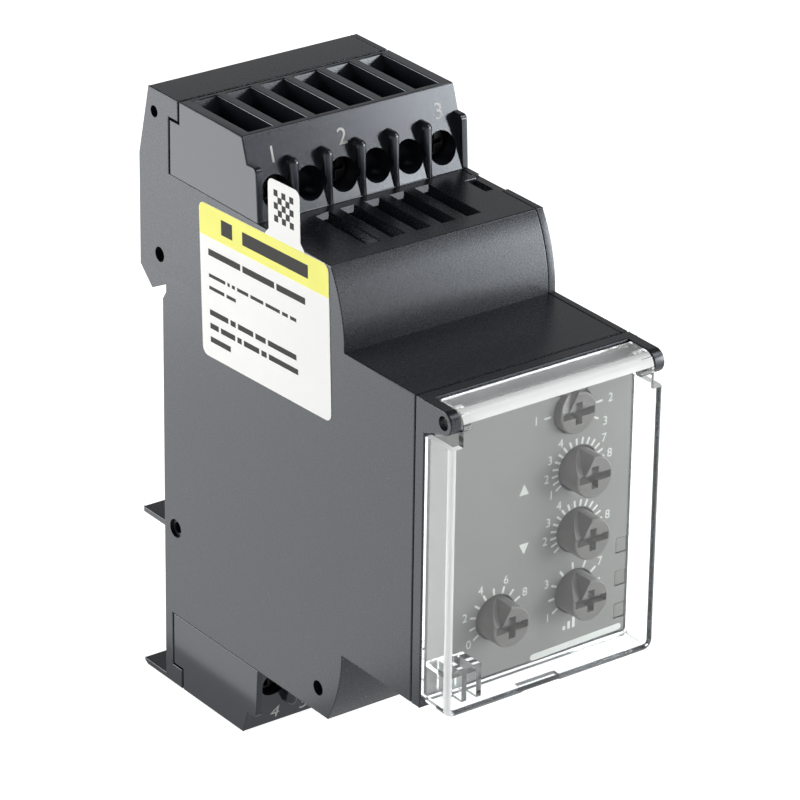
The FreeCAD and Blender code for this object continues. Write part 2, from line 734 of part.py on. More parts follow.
def make_ear(side):
    """Lug that carries the cover's hinge pin, drawn out from the bezel's upper corner."""
    low_tip = (hinge_y + EAR_TIP_SETBACK, hinge_z - math.sqrt(EAR_DROP ** 2 - EAR_TIP_SETBACK ** 2))
    path = [(seam_y - SEAM, front_z), (hinge_y, front_z), (hinge_y - EAR_DROP, hinge_z) + low_tip,
            (bezel_y, front_z - EAR_ROOT), (seam_y - SEAM, front_z - EAR_ROOT)]
    ear = prism("x", path, side * half_w, side * (half_w - EAR_SHEET))
    return rounded_outline(ear, side * half_w, EDGE_ROUND)


def make_bezel():
    """Front frame and panel face in one moulding, with hinge ears and a spigot that plugs into the case."""
    frame = box(-half_w, half_w, bezel_y, seam_y, -front_z, front_z)
    front_edges = edges_where(frame, lambda middle, b: b.YMax < bezel_y + FIT)
    frame = frame.makeFillet(BEZEL_ROUND, front_edges)
    seam_edges = edges_where(frame, lambda middle, b: b.YMin > seam_y - FIT)
    frame = frame.makeFillet(SEAM_ROUND, seam_edges)
    hollow = box(-half_w + WALL, half_w - WALL, panel_back_y, seam_y + CUT_OVER,
                 -front_z + WALL, front_z - WALL)
    field = box(-half_w + PANEL_EDGE, half_w - PANEL_EDGE, panel_y, bezel_y + PANEL_SHEET / 2,
                -front_z + PANEL_LOW_RISE, front_z - PANEL_TOP_DROP)
    spigot_x0 = left_in_x + FIT
    spigot_x1 = plate_x - FIT
    spigot_z = front_z - WALL - FIT
    spigot = box(spigot_x0, spigot_x1, panel_back_y, seam_y + SPIGOT_DEPTH, -spigot_z, spigot_z)
    room = box(spigot_x0 + SPIGOT_WALL, spigot_x1 - SPIGOT_WALL, panel_back_y - CUT_OVER,
               seam_y + SPIGOT_DEPTH + CUT_OVER, -spigot_z + SPIGOT_WALL, spigot_z - SPIGOT_WALL)
    side_room = box(half_w - WALL - WINDOW_WIDTH - 2 * WINDOW_FLANGE, half_w - WALL, panel_back_y, seam_y,
                    window_z(WINDOWS - 1) - WINDOW_HEIGHT, window_z(0) + WINDOW_HEIGHT)
    posts = []
    post_root = SPIGOT_WALL / 2
    low_z = -spigot_z + post_root
    high_z = spigot_z - post_root - POST_SIZE
    left_x = spigot_x0 + post_root
    right_x = spigot_x1 - post_root - POST_SIZE
    lamp_side_x = window_x - LAMP_INSET - LAMP_SIZE / 2 - POST_SIZE - 4 * FIT
    for x, z in ((left_x, low_z), (left_x, high_z), (right_x, high_z), (lamp_side_x, low_z)):
        posts.append(box(x, x + POST_SIZE, panel_back_y - FIT, front_board_y, z, z + POST_SIZE))
    body = frame.cut(hollow).fuse(field)
    rim = spigot.cut(room).cut(side_room)
    bezel = fuse([body, rim, make_ear(-1), make_ear(1)] + posts)
    cuts = dial_holes()
    cuts.append(rod("x", (hinge_y, hinge_z), HINGE_BORE, -half_w - CUT_OVER, half_w + CUT_OVER))
    cuts.append(prism("y", seal_slot_path(), panel_y - CUT_OVER, panel_back_y + CUT_OVER))
    for index in range(WINDOWS):
        hole = rectangle((window_x, window_z(index)), WINDOW_WIDTH + 2 * FIT, WINDOW_HEIGHT + 2 * FIT)
        cuts.append(prism("y", hole, panel_y - CUT_OVER, panel_back_y + CUT_OVER))
    return bezel.cut(Part.makeCompound(cuts))


def make_window(index):
    """Clear plug in the panel, with a flange behind it."""
    z = window_z(index)
    face = rectangle((window_x, z), WINDOW_WIDTH, WINDOW_HEIGHT)
    plug = prism("y", face, panel_y + WINDOW_SINK, panel_back_y + WINDOW_FLANGE)
    flange_x0 = window_x - WINDOW_WIDTH / 2 - WINDOW_FLANGE
    flange_x1 = min(window_x + WINDOW_WIDTH / 2 + WINDOW_FLANGE, half_w - WALL - FIT)
    half = WINDOW_HEIGHT / 2 + WINDOW_FLANGE
    flange = box(flange_x0, flange_x1, panel_back_y, panel_back_y + WINDOW_FLANGE, z - half, z + half)
    return fuse([plug, flange])


def make_knob(place, stand):
    """Setting knob: round drum with a cross slot and a ramp cut into its rim as the pointer."""
    crown = panel_y - stand
    back = pot_front_y - KNOB_BACK_GAP
    drum = rod("y", place, KNOB_DIAMETER, crown, back)
    drum = drum.makeFillet(KNOB_ROUND, edges_where(drum, lambda middle, b: b.YMax < crown + FIT))
    shaft = rod("y", place, KNOB_SHAFT, back - KNOB_BACK_GAP, pot_front_y + POT_BORE_DEPTH - KNOB_BACK_GAP)
    cross_end = crown + CROSS_DEPTH
    ramp_end = math.sqrt(KNOB_DIAMETER ** 2 / 4 - POINTER_OFFSET ** 2)
    ramp_floor = panel_y - POINTER_LAND
    ramp_path = [(-POINTER_INNER, crown - CUT_OVER), (-POINTER_INNER, crown), (ramp_end, ramp_floor),
                 (KNOB_DIAMETER, ramp_floor), (KNOB_DIAMETER, crown - CUT_OVER)]
    ramp = prism("z", ramp_path, POINTER_OFFSET, KNOB_DIAMETER)
    ramp.rotate(Vec(0, 0, 0), Vec(0, 1, 0), -POINTER_TURN)
    cross = fuse([prism("y", rectangle(place, CROSS_LONG, CROSS_SLOT), crown - CUT_OVER, cross_end),
                  prism("y", rectangle(place, CROSS_SLOT, CROSS_SHORT), crown - CUT_OVER, cross_end)])
    return fuse([drum, shaft]).cut(cross).cut(ramp.translated(Vec(place[0], 0, place[1])))


def make_pot(place):
    """Square potentiometer or switch body on the front board, bored for the knob's shaft."""
    body = prism("y", rectangle(place, pot_size, pot_size), pot_front_y, front_board_y)
    bore = rod("y", place, KNOB_SHAFT + 2 * RUNNING_FIT, pot_front_y - CUT_OVER, pot_front_y + POT_BORE_DEPTH)
    return body.cut(bore)


def make_cover():
    """Clear flap: front plate, side and bottom walls, rounded top between the ears, pins and sealing ribs."""
    back = bezel_y - CLEAR_BACK_GAP
    low_z = -front_z + CLEAR_LOW_RISE
    wall_top_z = front_z - EAR_ROOT - EAR_FIT
    ear_x = half_w - EAR_SHEET - EAR_FIT
    inner_y = cover_y + CLEAR_SHEET
    lower = box(-half_w, half_w, cover_y, back, low_z, wall_top_z)
    lower = lower.makeFillet(CLEAR_CORNER, low_corners(lower, low_z, half_w))
    rim = edges_where(lower, lambda middle, b: b.YMax < cover_y + FIT and b.ZMin < wall_top_z - FIT)
    lower = lower.makeFillet(CLEAR_ROUND, rim)
    hollow_x = half_w - CLEAR_SHEET
    hollow_z = low_z + CLEAR_SHEET
    hollow = box(-hollow_x, hollow_x, inner_y, back + CUT_OVER, hollow_z, wall_top_z + CUT_OVER)
    lower = lower.cut(hollow.makeFillet(CLEAR_CORNER - CLEAR_SHEET, low_corners(hollow, hollow_z, hollow_x)))
    top_rear_y = bezel_y - CLEAR_TOP_REAR_GAP
    outer_round = CLEAR_TOP_ROUND
    inner_round = CLEAR_TOP_ROUND - CLEAR_SHEET
    corner = math.sqrt(0.5)
    join_z = wall_top_z - CLEAR_SHEET
    hood_path = [
        (top_rear_y, front_z),
        (cover_y + outer_round, front_z),
        (cover_y + outer_round * (1 - corner), front_z - outer_round * (1 - corner),
         cover_y, front_z - outer_round),
        (cover_y, join_z),
        (inner_y, join_z),
        (inner_y, front_z - outer_round),
        (cover_y + outer_round - inner_round * corner, front_z - outer_round + inner_round * corner,
         cover_y + outer_round, front_z - CLEAR_SHEET),
        (top_rear_y, front_z - CLEAR_SHEET),
    ]
    pieces = [lower, prism("x", hood_path, -ear_x, ear_x)]
    for side in (-1, 1):
        inner_x = side * (ear_x - KNUCKLE_WIDTH)
        knuckle = rod("x", (hinge_y, hinge_z), 2 * KNUCKLE_ROUND, inner_x, side * ear_x)
        pieces.append(knuckle)
        pieces.append(box(inner_x, side * ear_x, inner_y - CLEAR_SHEET / 2, hinge_y,
                          hinge_z - CLEAR_SHEET, front_z - CLEAR_SHEET / 2))
        pin_end = side * (ear_x + EAR_FIT + HINGE_PIN_LENGTH)
        pieces.append(rod("x", (hinge_y, hinge_z), HINGE_BORE - 2 * RUNNING_FIT, inner_x, pin_end))
    seal_x = -half_w + CLEAR_SHEET + SEAL_BOX_WIDTH
    seal_top = -front_z + SEAL_BOX_TOP
    rib_back = panel_y - SEAL_RIB_GAP
    rib_front = inner_y - CLEAR_SHEET / 2
    pieces.append(box(-half_w + CLEAR_SHEET / 2, seal_x, rib_front, rib_back, seal_top - SEAL_RIB, seal_top))
    for rib_x in (seal_x, seal_x - SEAL_RIB_PITCH):
        pieces.append(box(rib_x - SEAL_RIB, rib_x, rib_front, rib_back, seal_top - SEAL_BOX_HEIGHT, seal_top))
    tongue_z = seal_top - SEAL_BOX_HEIGHT / 2
    pieces.append(box(seal_x - SEAL_RIB, seal_x, rib_back - CLEAR_SHEET, panel_y + PANEL_SHEET / 2,
                      tongue_z - SEAL_BOX_HEIGHT / 4, tongue_z + SEAL_BOX_HEIGHT / 4))
    finger = box(FINGER_X - FINGER_WIDTH / 2, FINGER_X + FINGER_WIDTH / 2, cover_y - CUT_OVER,
                 cover_y + FINGER_LENGTH, low_z - CUT_OVER, low_z + FINGER_DEPTH)
    return fuse(pieces).cut(finger)


def low_corners(block, low_z, side_x):
    """Edges along the two lower side corners of a block."""
    return edges_where(block, lambda middle, b: b.ZMax < low_z + FIT and abs(middle.x) > side_x - FIT)


# Boards and components

def make_front_board():
    """Board behind the panel, carried by the bezel's posts."""
    x0 = left_in_x + FRONT_BOARD_EDGE
    x1 = plate_x - FRONT_BOARD_EDGE
    z = front_z - WALL - FRONT_BOARD_EDGE
    return box(x0, x1, front_board_y, front_board_y + BOARD_SHEET, -z, z)


def make_main_board():
    """Upright board on the left wall's bosses, narrower in the nose, cut out round the lower front post."""
    high = terminal_board_z - FIT
    neck = front_z - WALL - MAIN_BOARD_NECK
    shoulder_y = deck_front_y + WALL + MAIN_BOARD_NECK
    back_y = -WALL - MAIN_BOARD_BACK
    path = [(back_y, -high), (back_y, high), (shoulder_y, high), (shoulder_y, neck),
            (main_board_front_y, neck), (main_board_front_y, -neck), (shoulder_y, -neck), (shoulder_y, -high)]
    board = prism("x", path, board_x, parts_x)
    room = POST_DIAMETER + 2 * MAIN_BOARD_NECK
    holes = [rod("x", (y, z), room, board_x - CUT_OVER, parts_x + CUT_OVER) for y, z, _ in POSTS]
    return board.cut(Part.makeCompound(holes))


def make_header():
    """Connector that joins the main board to the front board."""
    return box(parts_x, parts_x + HEADER_STAND, front_board_y + BOARD_SHEET,
               main_board_front_y + HEADER_OVERLAP, -HEADER_HEIGHT / 2, HEADER_HEIGHT / 2)


def make_lamps():
    """Small lamps on the front board, one behind each window."""
    lamps = []
    for index in range(WINDOWS):
        place = rectangle((window_x - LAMP_INSET, window_z(index)), LAMP_SIZE, LAMP_SIZE)
        lamps.append(prism("y", place, front_board_y - LAMP_DEPTH, front_board_y))
    return Part.makeCompound(lamps)


def make_relay(index):
    """Sealed output relay on the main board."""
    z = -RELAY_DROP - index * RELAY_PITCH
    back = -RELAY_BACK
    half = RELAY_WIDTH / 2
    return box(parts_x, parts_x + RELAY_STAND, back - RELAY_LENGTH, back, z - half, z + half)


def make_film_capacitor(index):
    """Boxed film capacitor on the main board."""
    z = terminal_board_z - FILM_TOP_GAP - FILM_WIDTH / 2 - index * FILM_PITCH
    back = -FILM_BACK
    half = FILM_WIDTH / 2
    return box(parts_x, parts_x + FILM_STAND, film_front_y, back, z - half, z + half)


def make_can():
    """Storage capacitor can, standing on the main board in the nose."""
    z = front_z - WALL - MAIN_BOARD_NECK - CAN_TOP_GAP - CAN_DIAMETER / 2
    return rod("x", (can_y, z), CAN_DIAMETER, parts_x, parts_x + CAN_LENGTH)


def make_varistor(index):
    """Disc varistor standing on edge on the main board."""
    z = terminal_board_z - VARISTOR_TOP_GAP - VARISTOR_SHEET / 2 - index * VARISTOR_PITCH
    y = -WALL - MAIN_BOARD_BACK - VARISTOR_BACK - VARISTOR_DIAMETER / 2
    centre = (parts_x + FIT + VARISTOR_DIAMETER / 2, y)
    return rod("z", centre, VARISTOR_DIAMETER, z - VARISTOR_SHEET / 2, z + VARISTOR_SHEET / 2)


# Rail clip

def window_top_z():
    """Upper end of the clip's spring window."""
    return tab_z - TAB_SHEET - SPRING_WINDOW_TOP + CLIP_GAP


def peg_z():
    """Top of the fixed peg that the spring stands on."""
    return window_top_z() - SPRING_LENGTH


def make_clip():
    """Slider that holds the rail's lower edge, with a window for the spring and a slot to pull it down."""
    half = CLIP_WIDTH / 2
    front = CLIP_GAP
    back = CLIP_GAP + CLIP_SHEET
    shoulder_z = rail_low_z - CLIP_BELOW_RAIL
    nose_z = rail_low_z + NOSE_HEIGHT
    nose_y = RAIL_SHEET + CLIP_GAP
    path = [(front, -top_z), (back, -top_z), (back, nose_z - NOSE_HEIGHT), (nose_y + NOSE_HEIGHT / 4, nose_z),
            (nose_y, nose_z), (nose_y, shoulder_z), (front, shoulder_z)]
    clip = prism("x", path, -half, half)
    window_low = peg_z() - PEG_HEIGHT - CLIP_GAP
    window = box(-SPRING_WINDOW_WIDTH / 2, SPRING_WINDOW_WIDTH / 2, front - CUT_OVER, back + CUT_OVER,
                 window_low, window_top_z())
    pull_low = -top_z + PULL_SLOT_RISE
    pull = box(-PULL_SLOT_WIDTH / 2, PULL_SLOT_WIDTH / 2, back - CLIP_SHEET / 2, back + CUT_OVER,
               pull_low, pull_low + PULL_SLOT_HEIGHT)
    return clip.cut(window).cut(pull)


def make_spring():
    """Bent spring strip between the case's peg and the top of the clip's window."""
    front = CLIP_GAP + (CLIP_SHEET - SPRING_STRIP) / 2
    back = front + SPRING_STRIP
    low = peg_z() + FIT
    pitch = (SPRING_LENGTH - 2 * FIT - SPRING_WIRE) / (SPRING_LEGS - 1)
    half = SPRING_SPAN / 2
    pieces = []
    for leg in range(SPRING_LEGS):
        z = low + leg * pitch
        pieces.append(box(-half, half, front, back, z, z + SPRING_WIRE))
        if leg + 1 < SPRING_LEGS:
            side = 1 if leg % 2 else -1
            centre = (side * half, z + (pitch + SPRING_WIRE) / 2)
            ring = rod("y", centre, pitch + SPRING_WIRE, front, back)
            ring = ring.cut(rod("y", centre, pitch - SPRING_WIRE, front - CUT_OVER, back + CUT_OVER))
            outer_half = box(side * half, side * (half + pitch), front, back, z, z + pitch + SPRING_WIRE)
            pieces.append(ring.common(outer_half))
    return fuse(pieces)


# Side label

def make_label():
    """Stuck-on label with a tab that stands up past the deck, turned a little about its front corner."""
    front = deck_front_y + LABEL_FRONT_LAND
    back = front + LABEL_WIDTH
    low = deck_z - LABEL_HEIGHT
    tab_front = front + LABEL_TAB_FROM_FRONT
    tab_back = tab_front + LABEL_TAB_WIDTH
    tab_top = deck_z + LABEL_TAB_RISE
    path = [(front, low), (back, low), (back, deck_z), (tab_back + LABEL_TAB_FLARE, deck_z),
            (tab_back, deck_z + LABEL_TAB_FLARE), (tab_back, tab_top), (tab_front, tab_top),
            (tab_front, deck_z + LABEL_TAB_FLARE), (tab_front - LABEL_TAB_FLARE, deck_z), (front, deck_z)]
    sheet = prism("x", path, -half_w - LABEL_SHEET, -half_w)
    corners = {(front, low): LABEL_CORNER, (back, low): LABEL_CORNER,
               (back, deck_z): LABEL_CORNER, (front, deck_z): LABEL_CORNER,
               (tab_back, tab_top): LABEL_TAB_CORNER, (tab_front, tab_top): LABEL_TAB_CORNER}
    for (y, z), radius in corners.items():
        edges = [edge for edge in sheet.Edges if runs_across(edge, y, z)]
        sheet = sheet.makeFillet(radius, edges)
    sheet.rotate(Vec(0, front, deck_z), Vec(1, 0, 0), -LABEL_TILT)
    return sheet


def runs_across(edge, y, z):
    """True for the straight edge along X at a place in the side view."""
    middle = edge.CenterOfMass
    straight = edge.BoundBox.XLength > LABEL_SHEET / 2
    return straight and math.hypot(middle.y - y, middle.z - z) < FIT


# Export

def clamp_nodes(clamps, place):
    """Screw and cage of each marked terminal of one block."""
    nodes = {}
    for index, mark in clamps.items():
        nodes["terminal_screw_" + mark] = place(make_screw(index))
        nodes["terminal_cage_" + mark] = place(make_cage(index))
    return nodes


def make_nodes():
    """Every piece of the relay by name."""
    nodes = {
        "housing_shell": make_shell(),
        "side_cover": make_side_cover(),
        "front_bezel": make_bezel(),
        "upper_terminal_block": make_terminal_block(),
        "lower_terminal_block": turned_over(make_terminal_block()),
        "front_cover": make_cover(),
        "front_circuit_board": make_front_board(),
        "main_circuit_board": make_main_board(),
        "upper_terminal_board": make_terminal_board(UPPER_CLAMPS),
        "lower_terminal_board": turned_over(make_terminal_board(LOWER_CLAMPS)),
        "upper_contacts": make_contacts(UPPER_CLAMPS),
        "lower_contacts": turned_over(make_contacts(LOWER_CLAMPS)),
        "indicator_lamps": make_lamps(),
        "board_header": make_header(),
        "storage_capacitor": make_can(),
        "range_knob": make_knob(RANGE_DIAL, RANGE_KNOB_STAND),
        "range_switch": make_pot(RANGE_DIAL),
        "rail_clip": make_clip(),
        "clip_spring": make_spring(),
        "side_label": make_label(),
    }
    for name, place in DIALS.items():
        nodes[name + "_knob"] = make_knob(place, KNOB_STAND)
        nodes[name + "_potentiometer"] = make_pot(place)
    for index in range(WINDOWS):
        nodes["indicator_window_%d" % (index + 1)] = make_window(index)
    for index in range(2):
        nodes["output_relay_%d" % (index + 1)] = make_relay(index)
        nodes["film_capacitor_%d" % (index + 1)] = make_film_capacitor(index)
    for index in range(VARISTORS):
        nodes["varistor_%d" % (index + 1)] = make_varistor(index)
    nodes.update(clamp_nodes(UPPER_CLAMPS, lambda shape: shape))
    nodes.update(clamp_nodes(LOWER_CLAMPS, turned_over))
    return nodes


os.makedirs("parts", exist_ok=True)
for name, shape in make_nodes().items():
    shape.translated(Vec(0, 0, RAIL_DROP)).exportStep("parts/%s.step" % name)
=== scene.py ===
"""Finishes, markings and studio for a rail-mounted phase monitoring relay."""

import math

import bmesh
import bpy
from mathutils import Matrix, Vector


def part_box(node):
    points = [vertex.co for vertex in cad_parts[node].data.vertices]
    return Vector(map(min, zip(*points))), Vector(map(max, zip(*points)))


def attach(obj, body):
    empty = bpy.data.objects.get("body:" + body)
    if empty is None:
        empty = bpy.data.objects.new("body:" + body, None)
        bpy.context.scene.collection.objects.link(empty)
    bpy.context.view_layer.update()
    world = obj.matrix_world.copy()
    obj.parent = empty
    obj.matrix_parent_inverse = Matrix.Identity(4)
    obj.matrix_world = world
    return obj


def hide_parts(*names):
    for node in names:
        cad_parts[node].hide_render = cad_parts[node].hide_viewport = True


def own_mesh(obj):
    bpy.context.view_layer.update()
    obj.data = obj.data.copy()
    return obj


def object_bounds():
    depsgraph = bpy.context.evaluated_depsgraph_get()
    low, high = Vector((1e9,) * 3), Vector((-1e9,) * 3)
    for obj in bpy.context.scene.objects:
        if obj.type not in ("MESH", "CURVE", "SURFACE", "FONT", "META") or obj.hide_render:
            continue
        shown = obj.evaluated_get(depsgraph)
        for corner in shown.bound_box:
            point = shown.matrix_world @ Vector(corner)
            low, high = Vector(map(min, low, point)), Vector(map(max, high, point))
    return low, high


bl_info = {
    "name": "Phase Monitoring Relay",
    "version": (1, 0, 0),
    "blender": (4, 5, 0),
    "location": "View3D > Sidebar > Relay",
    "description": "Finishes, markings and studio for a rail-mounted monitoring relay",
    "category": "Object",
}

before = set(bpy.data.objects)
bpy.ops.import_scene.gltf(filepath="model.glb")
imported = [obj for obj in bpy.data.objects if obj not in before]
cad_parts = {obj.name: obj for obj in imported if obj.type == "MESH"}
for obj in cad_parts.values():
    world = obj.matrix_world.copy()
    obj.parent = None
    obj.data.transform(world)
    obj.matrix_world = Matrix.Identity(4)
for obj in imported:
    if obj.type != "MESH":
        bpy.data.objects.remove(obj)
CAD_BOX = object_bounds()

MM = 0.001

# Places on the case, in millimetres. Heights are about mid-height, RAIL_DROP above the rail's middle
RAIL_DROP = 1.7
HALF_WIDTH = 17.5
PANEL_Y = -61.0
SEAM_Y = -58.55
SEAM_OPEN = 0.22
EAR_INNER_X = 15.8
EAR_LOW_Z = 18.5
COVER_ROUND_Z = 20.7
# How far a face may lie from the panel, the cover's front, its rear rim and a knob's crown
PANEL_SKIN = 0.2
COVER_ROUND_DEPTH = 2.0
COVER_RIM = 0.7
# Depths below a knob's crown of the slot floors that take painted shade
SLOT_DEPTHS = (0.2, 2.0)
# Gap within which two faces count as touching
TOUCH = 0.01
# Finishes of the cover, in the order of its materials
POLISHED, PIN_END, PAINTED_HIGHLIGHT, COATED, PAINTED_SHEEN = range(5)

# Share of a face's normal along an axis, from flat on to leaning
FLAT_ON = 0.99
NEAR_ON = 0.9
HALF_ON = 0.5
ROUND_LEAN = 0.35
EDGE_LEAN = 0.15

# Joining and rounding of the CAD meshes: metres, degrees, and the least length of a rounded edge in radii
WELD = 1e-6
FLAT_TURN = 0.4
EDGE_TURN = 50.0
SHADE_TURN = 35.0
EDGE_SEGMENTS = 2
EDGE_LEAST = 4

# Terminal blocks: sloped face, screw holes and the fins between them
BLOCK_TOP_Y = -19.4
BLOCK_TOP_Z = 45.0
DECK_Z = 33.7
FACE_RUN = 3.75
FACE_SLANT = math.atan2(FACE_RUN, BLOCK_TOP_Z - DECK_Z)
TERMINALS = (-13.75, -8.25, -2.75, 2.75, 8.25, 13.75)
FIN_MIDDLES = tuple((left + right) / 2 for left, right in zip(TERMINALS, TERMINALS[1:]))
FIN_WIDTH = 1.8
FIN_FOOT_WIDTH = 0.8
FIN_HEAD_Z = 41.4
# Reach past a fin's outline, least square of its half width, and the share of its stand that may go
FIN_MARGIN = 0.05
FIN_TIP_SQUARE = 0.01
FIN_DROP_LIMIT = 0.8
# Lines along a fin, as shares of its half width, that take up its round
FIN_LINES = (-0.92, -0.75, -0.5, -0.25, 0.0, 0.25, 0.5, 0.75, 0.92)

# Clamps by their marks, and the threads and rounded edges of their screws and cages
CLAMPS = ("l1", "l2", "l3", "12", "11", "14", "22", "21", "24")
THREAD_LENGTH = 4.6
THREAD_RADIUS = 1.19
THREAD_RIDGE = 0.035
THREAD_END = 0.1
SCREW_ROUND = 0.08
CAGE_ROUND = 0.12
CLIP_ROUND = 0.12

# Terminal numbers: place across the case of each one, and the drop of each row from the block's edge
UPPER_NUMBERS = ((-13.3, "1"), (-1.9, "2"), (14.2, "3"))
LOWER_NUMBERS = ((-12.4, "4"), (-7.4, "5"), (-1.9, "6"), (3.6, "7"), (9.1, "8"), (14.6, "9"))
UPPER_NUMBER_DROP = 3.4
LOWER_NUMBER_DROP = 1.9
# Height of a numeral as a share of the font's size, and the steps of its curves
NUMERAL_SHARE = 0.7
LETTER_STEPS = 4

# Dials: (x, z), marks on the scale, and which of them carry a number
SCALES = {
    "over_voltage": ((7.4, 6.3), 17, {0: "1", 2: "2", 4: "3", 6: "4", 12: "7", 14: "8", 16: "9"}),
    "under_voltage": ((7.4, -2.85), 17, {2: "2", 4: "3", 6: "4", 14: "8", 16: "9"}),
    "asymmetry": ((7.4, -12.0), 9, {0: "1", 2: "3", 6: "7", 8: "9"}),
    "delay": ((-5.8, -12.0), 11, {0: "0", 2: "2", 4: "4", 6: "6", 8: "8"}),
}
SCALE_START = 213.0
SCALE_SWEEP = -234.0
# Range dial: its centre, the number at each turn, and the length, width and middle of its marks
RANGE_DIAL = (6.3, 15.0)
RANGE_MARKS = {180.0: "1", 2.0: "2", 331.0: "3"}
RANGE_NUMBER_RADIUS = 6.2
RANGE_TICK_RADIUS = 4.3
RANGE_TICK = (1.1, 0.28)
# Signs on the panel: triangles (x, z, turn), three rising bars, and the light bar with its lean
ARROWS = ((-1.6, 5.6, 0.0), (-1.4, -3.2, math.pi))
ARROW_HALF = 0.8
BARS_PLACE = (6.6, -17.5)
BARS = 3
BAR_WIDTH = 0.45
BAR_PITCH = 0.8
BAR_LEAST = 0.6
BAR_RISE = 0.5
LIGHT_BAR_PLACE = (7.9, -19.9)
LIGHT_BAR_SIZE = (15.5, 0.95)
LIGHT_BAR_LEAN = math.atan2(0.3, 14.7)
ROUND_STEPS = 6

# Side label: its front upper corner (y, z), tilt and width
LABEL_CORNER = (-39.4, 33.7)
LABEL_TILT = math.radians(-2.3)
LABEL_WIDTH = 30.2
# Its film is thinner than the CAD sheet: the share that is left, and its thickness
LABEL_SHARE = 0.55
LABEL_SHEET = 0.066
# Coloured band: its margin at the label's edge, its corner, and two plain blocks (width, height, x, y)
BAND_MARGIN = 0.05
BAND_CORNER = 1.15
BAND_BLOCKS = ((2.6, 2.2, 6.6, -2.4), (15.2, 1.9, 17.9, -2.45))
# Rows of plain bars on the label: drop from its top, height, and the length of each bar
LABEL_ROWS = (
    (6.9, 0.95, (7.6, 7.4, 6.6)),
    (10.3, 0.5, (3.9, 0.5, 0.7, 2.6, 3.0, 3.3, 1.3, 1.4)),
    (12.1, 0.5, (3.6, 2.2)),
    (15.7, 0.8, (4.4, 1.2, 3.6, 2.4, 6.6)),
    (17.7, 0.8, (2.0, 3.4, 1.0, 3.6, 1.2, 6.8)),
    (19.7, 0.8, (4.8,)),
)
ROW_START = 2.0
WORD_GAP = 0.55
# Chequered square on the label's tab: middle from the label's corner, one square and squares a side
TAB_MIDDLE = (-10.0, 4.7)
TAB_SQUARE = 0.9
TAB_SQUARES = 5

# Carbon-black plastic throws back a little more blue than red
COOL_SHEEN = "eff6ff"
CLEAR_IOR = 1.58
# Grain of the materials: width of the clouds, the part of the noise in use, and the spread of the gloss.
# Real grains of 0.05 to 0.1 mm are finer than a pixel, so each is drawn as coarse as it needs to show
CLOUD = 7.0 * MM
NOISE_LIMITS = (0.3, 0.7)
GLOSS_SPREAD = 0.04
BUMP_STRENGTH = 0.6

# Studio, in metres. Softboxes: name, place, width, height, radiance. Cards: name, place, width, radiance
SOFTBOXES = (
    ("front_right_softbox", (0.242, -0.215, 0.05), 0.17, 0.17, 10.5),
    ("front_high_softbox", (0.40, -0.30, 0.50), 0.30, 0.24, 4.5),
    ("back_left_softbox", (-0.52, 0.62, 0.20), 0.60, 0.40, 6.6),
)
LAMP_AIM = (0.0, -0.03, 0.0)
CARDS = (
    ("far_left_card", (-0.17, 0.19), 0.17, 2.2),
    ("near_left_card", (-0.098, 0.055), 0.15, 1.0),
)
CARD_LIFT = 1.0 * MM
# Floor: half width, gap under the part, and its own light to the eye, through clear parts and in mirrors
FLOOR_REACH = 4.0
FLOOR_GAP = 0.05 * MM
FLOOR_SEEN = 0.9
FLOOR_THROUGH = 0.5
FLOOR_MIRRORED = 0.45
# World: strength near the ground and overhead, the climb between them, and what clear parts add
SKY_LOW = 0.6
SKY_HIGH = 0.1
SKY_CLIMB = (0.25, 0.6)
SKY_THROUGH = 0.2
# Camera: lens and sensor in millimetres, its axes, its place in millimetres and its clipping in metres
LENS = 211.55
SENSOR = 36.0
CAMERA_RIGHT = (0.80646552, -0.59114005, 0.01291584)
CAMERA_UP = (0.24329759, 0.3516704, 0.90395476)
CAMERA_BACK = (-0.53890598, -0.72586595, 0.427433)
CAMERA_PLACE = (-343.99, -495.10, 281.15)
CLIPPING = (0.05, 20.0)


class RelaySizes(bpy.types.PropertyGroup):
    """Sizes of the finish, in metres."""

    grain: bpy.props.FloatProperty(
        name="Grain", description="Width of the moulded grain on the case",
        default=0.24 * MM, unit="LENGTH")
    edge_round: bpy.props.FloatProperty(
        name="Edge Round", description="Round on the moulded edges",
        default=0.16 * MM, unit="LENGTH")
    tick_radius: bpy.props.FloatProperty(
        name="Tick Radius", description="Middle of the scale marks round a dial",
        default=3.9 * MM, unit="LENGTH")
    tick_length: bpy.props.FloatProperty(
        name="Tick Length", description="Length of one scale mark",
        default=1.0 * MM, unit="LENGTH")
    tick_width: bpy.props.FloatProperty(
        name="Tick Width", description="Width of one scale mark",
        default=0.32 * MM, unit="LENGTH")
    print_sheet: bpy.props.FloatProperty(
        name="Print Thickness", description="Height of the printed ink",
        default=0.02 * MM, unit="LENGTH")
    number_height: bpy.props.FloatProperty(
        name="Dial Number Height", description="Height of the dial numbers",
        default=1.25 * MM, unit="LENGTH")
    number_radius: bpy.props.FloatProperty(
        name="Dial Number Radius", description="Distance of the numbers from a dial's centre",
        default=5.3 * MM, unit="LENGTH")
    terminal_height: bpy.props.FloatProperty(
        name="Terminal Number Height", description="Height of the terminal numbers",
        default=2.3 * MM, unit="LENGTH")
    band_height: bpy.props.FloatProperty(
        name="Label Band", description="Height of the coloured band on the label",
        default=4.7 * MM, unit="LENGTH")
    thread_pitch: bpy.props.FloatProperty(
        name="Thread Pitch", description="Pitch of the clamp screws",
        default=0.45 * MM, unit="LENGTH")


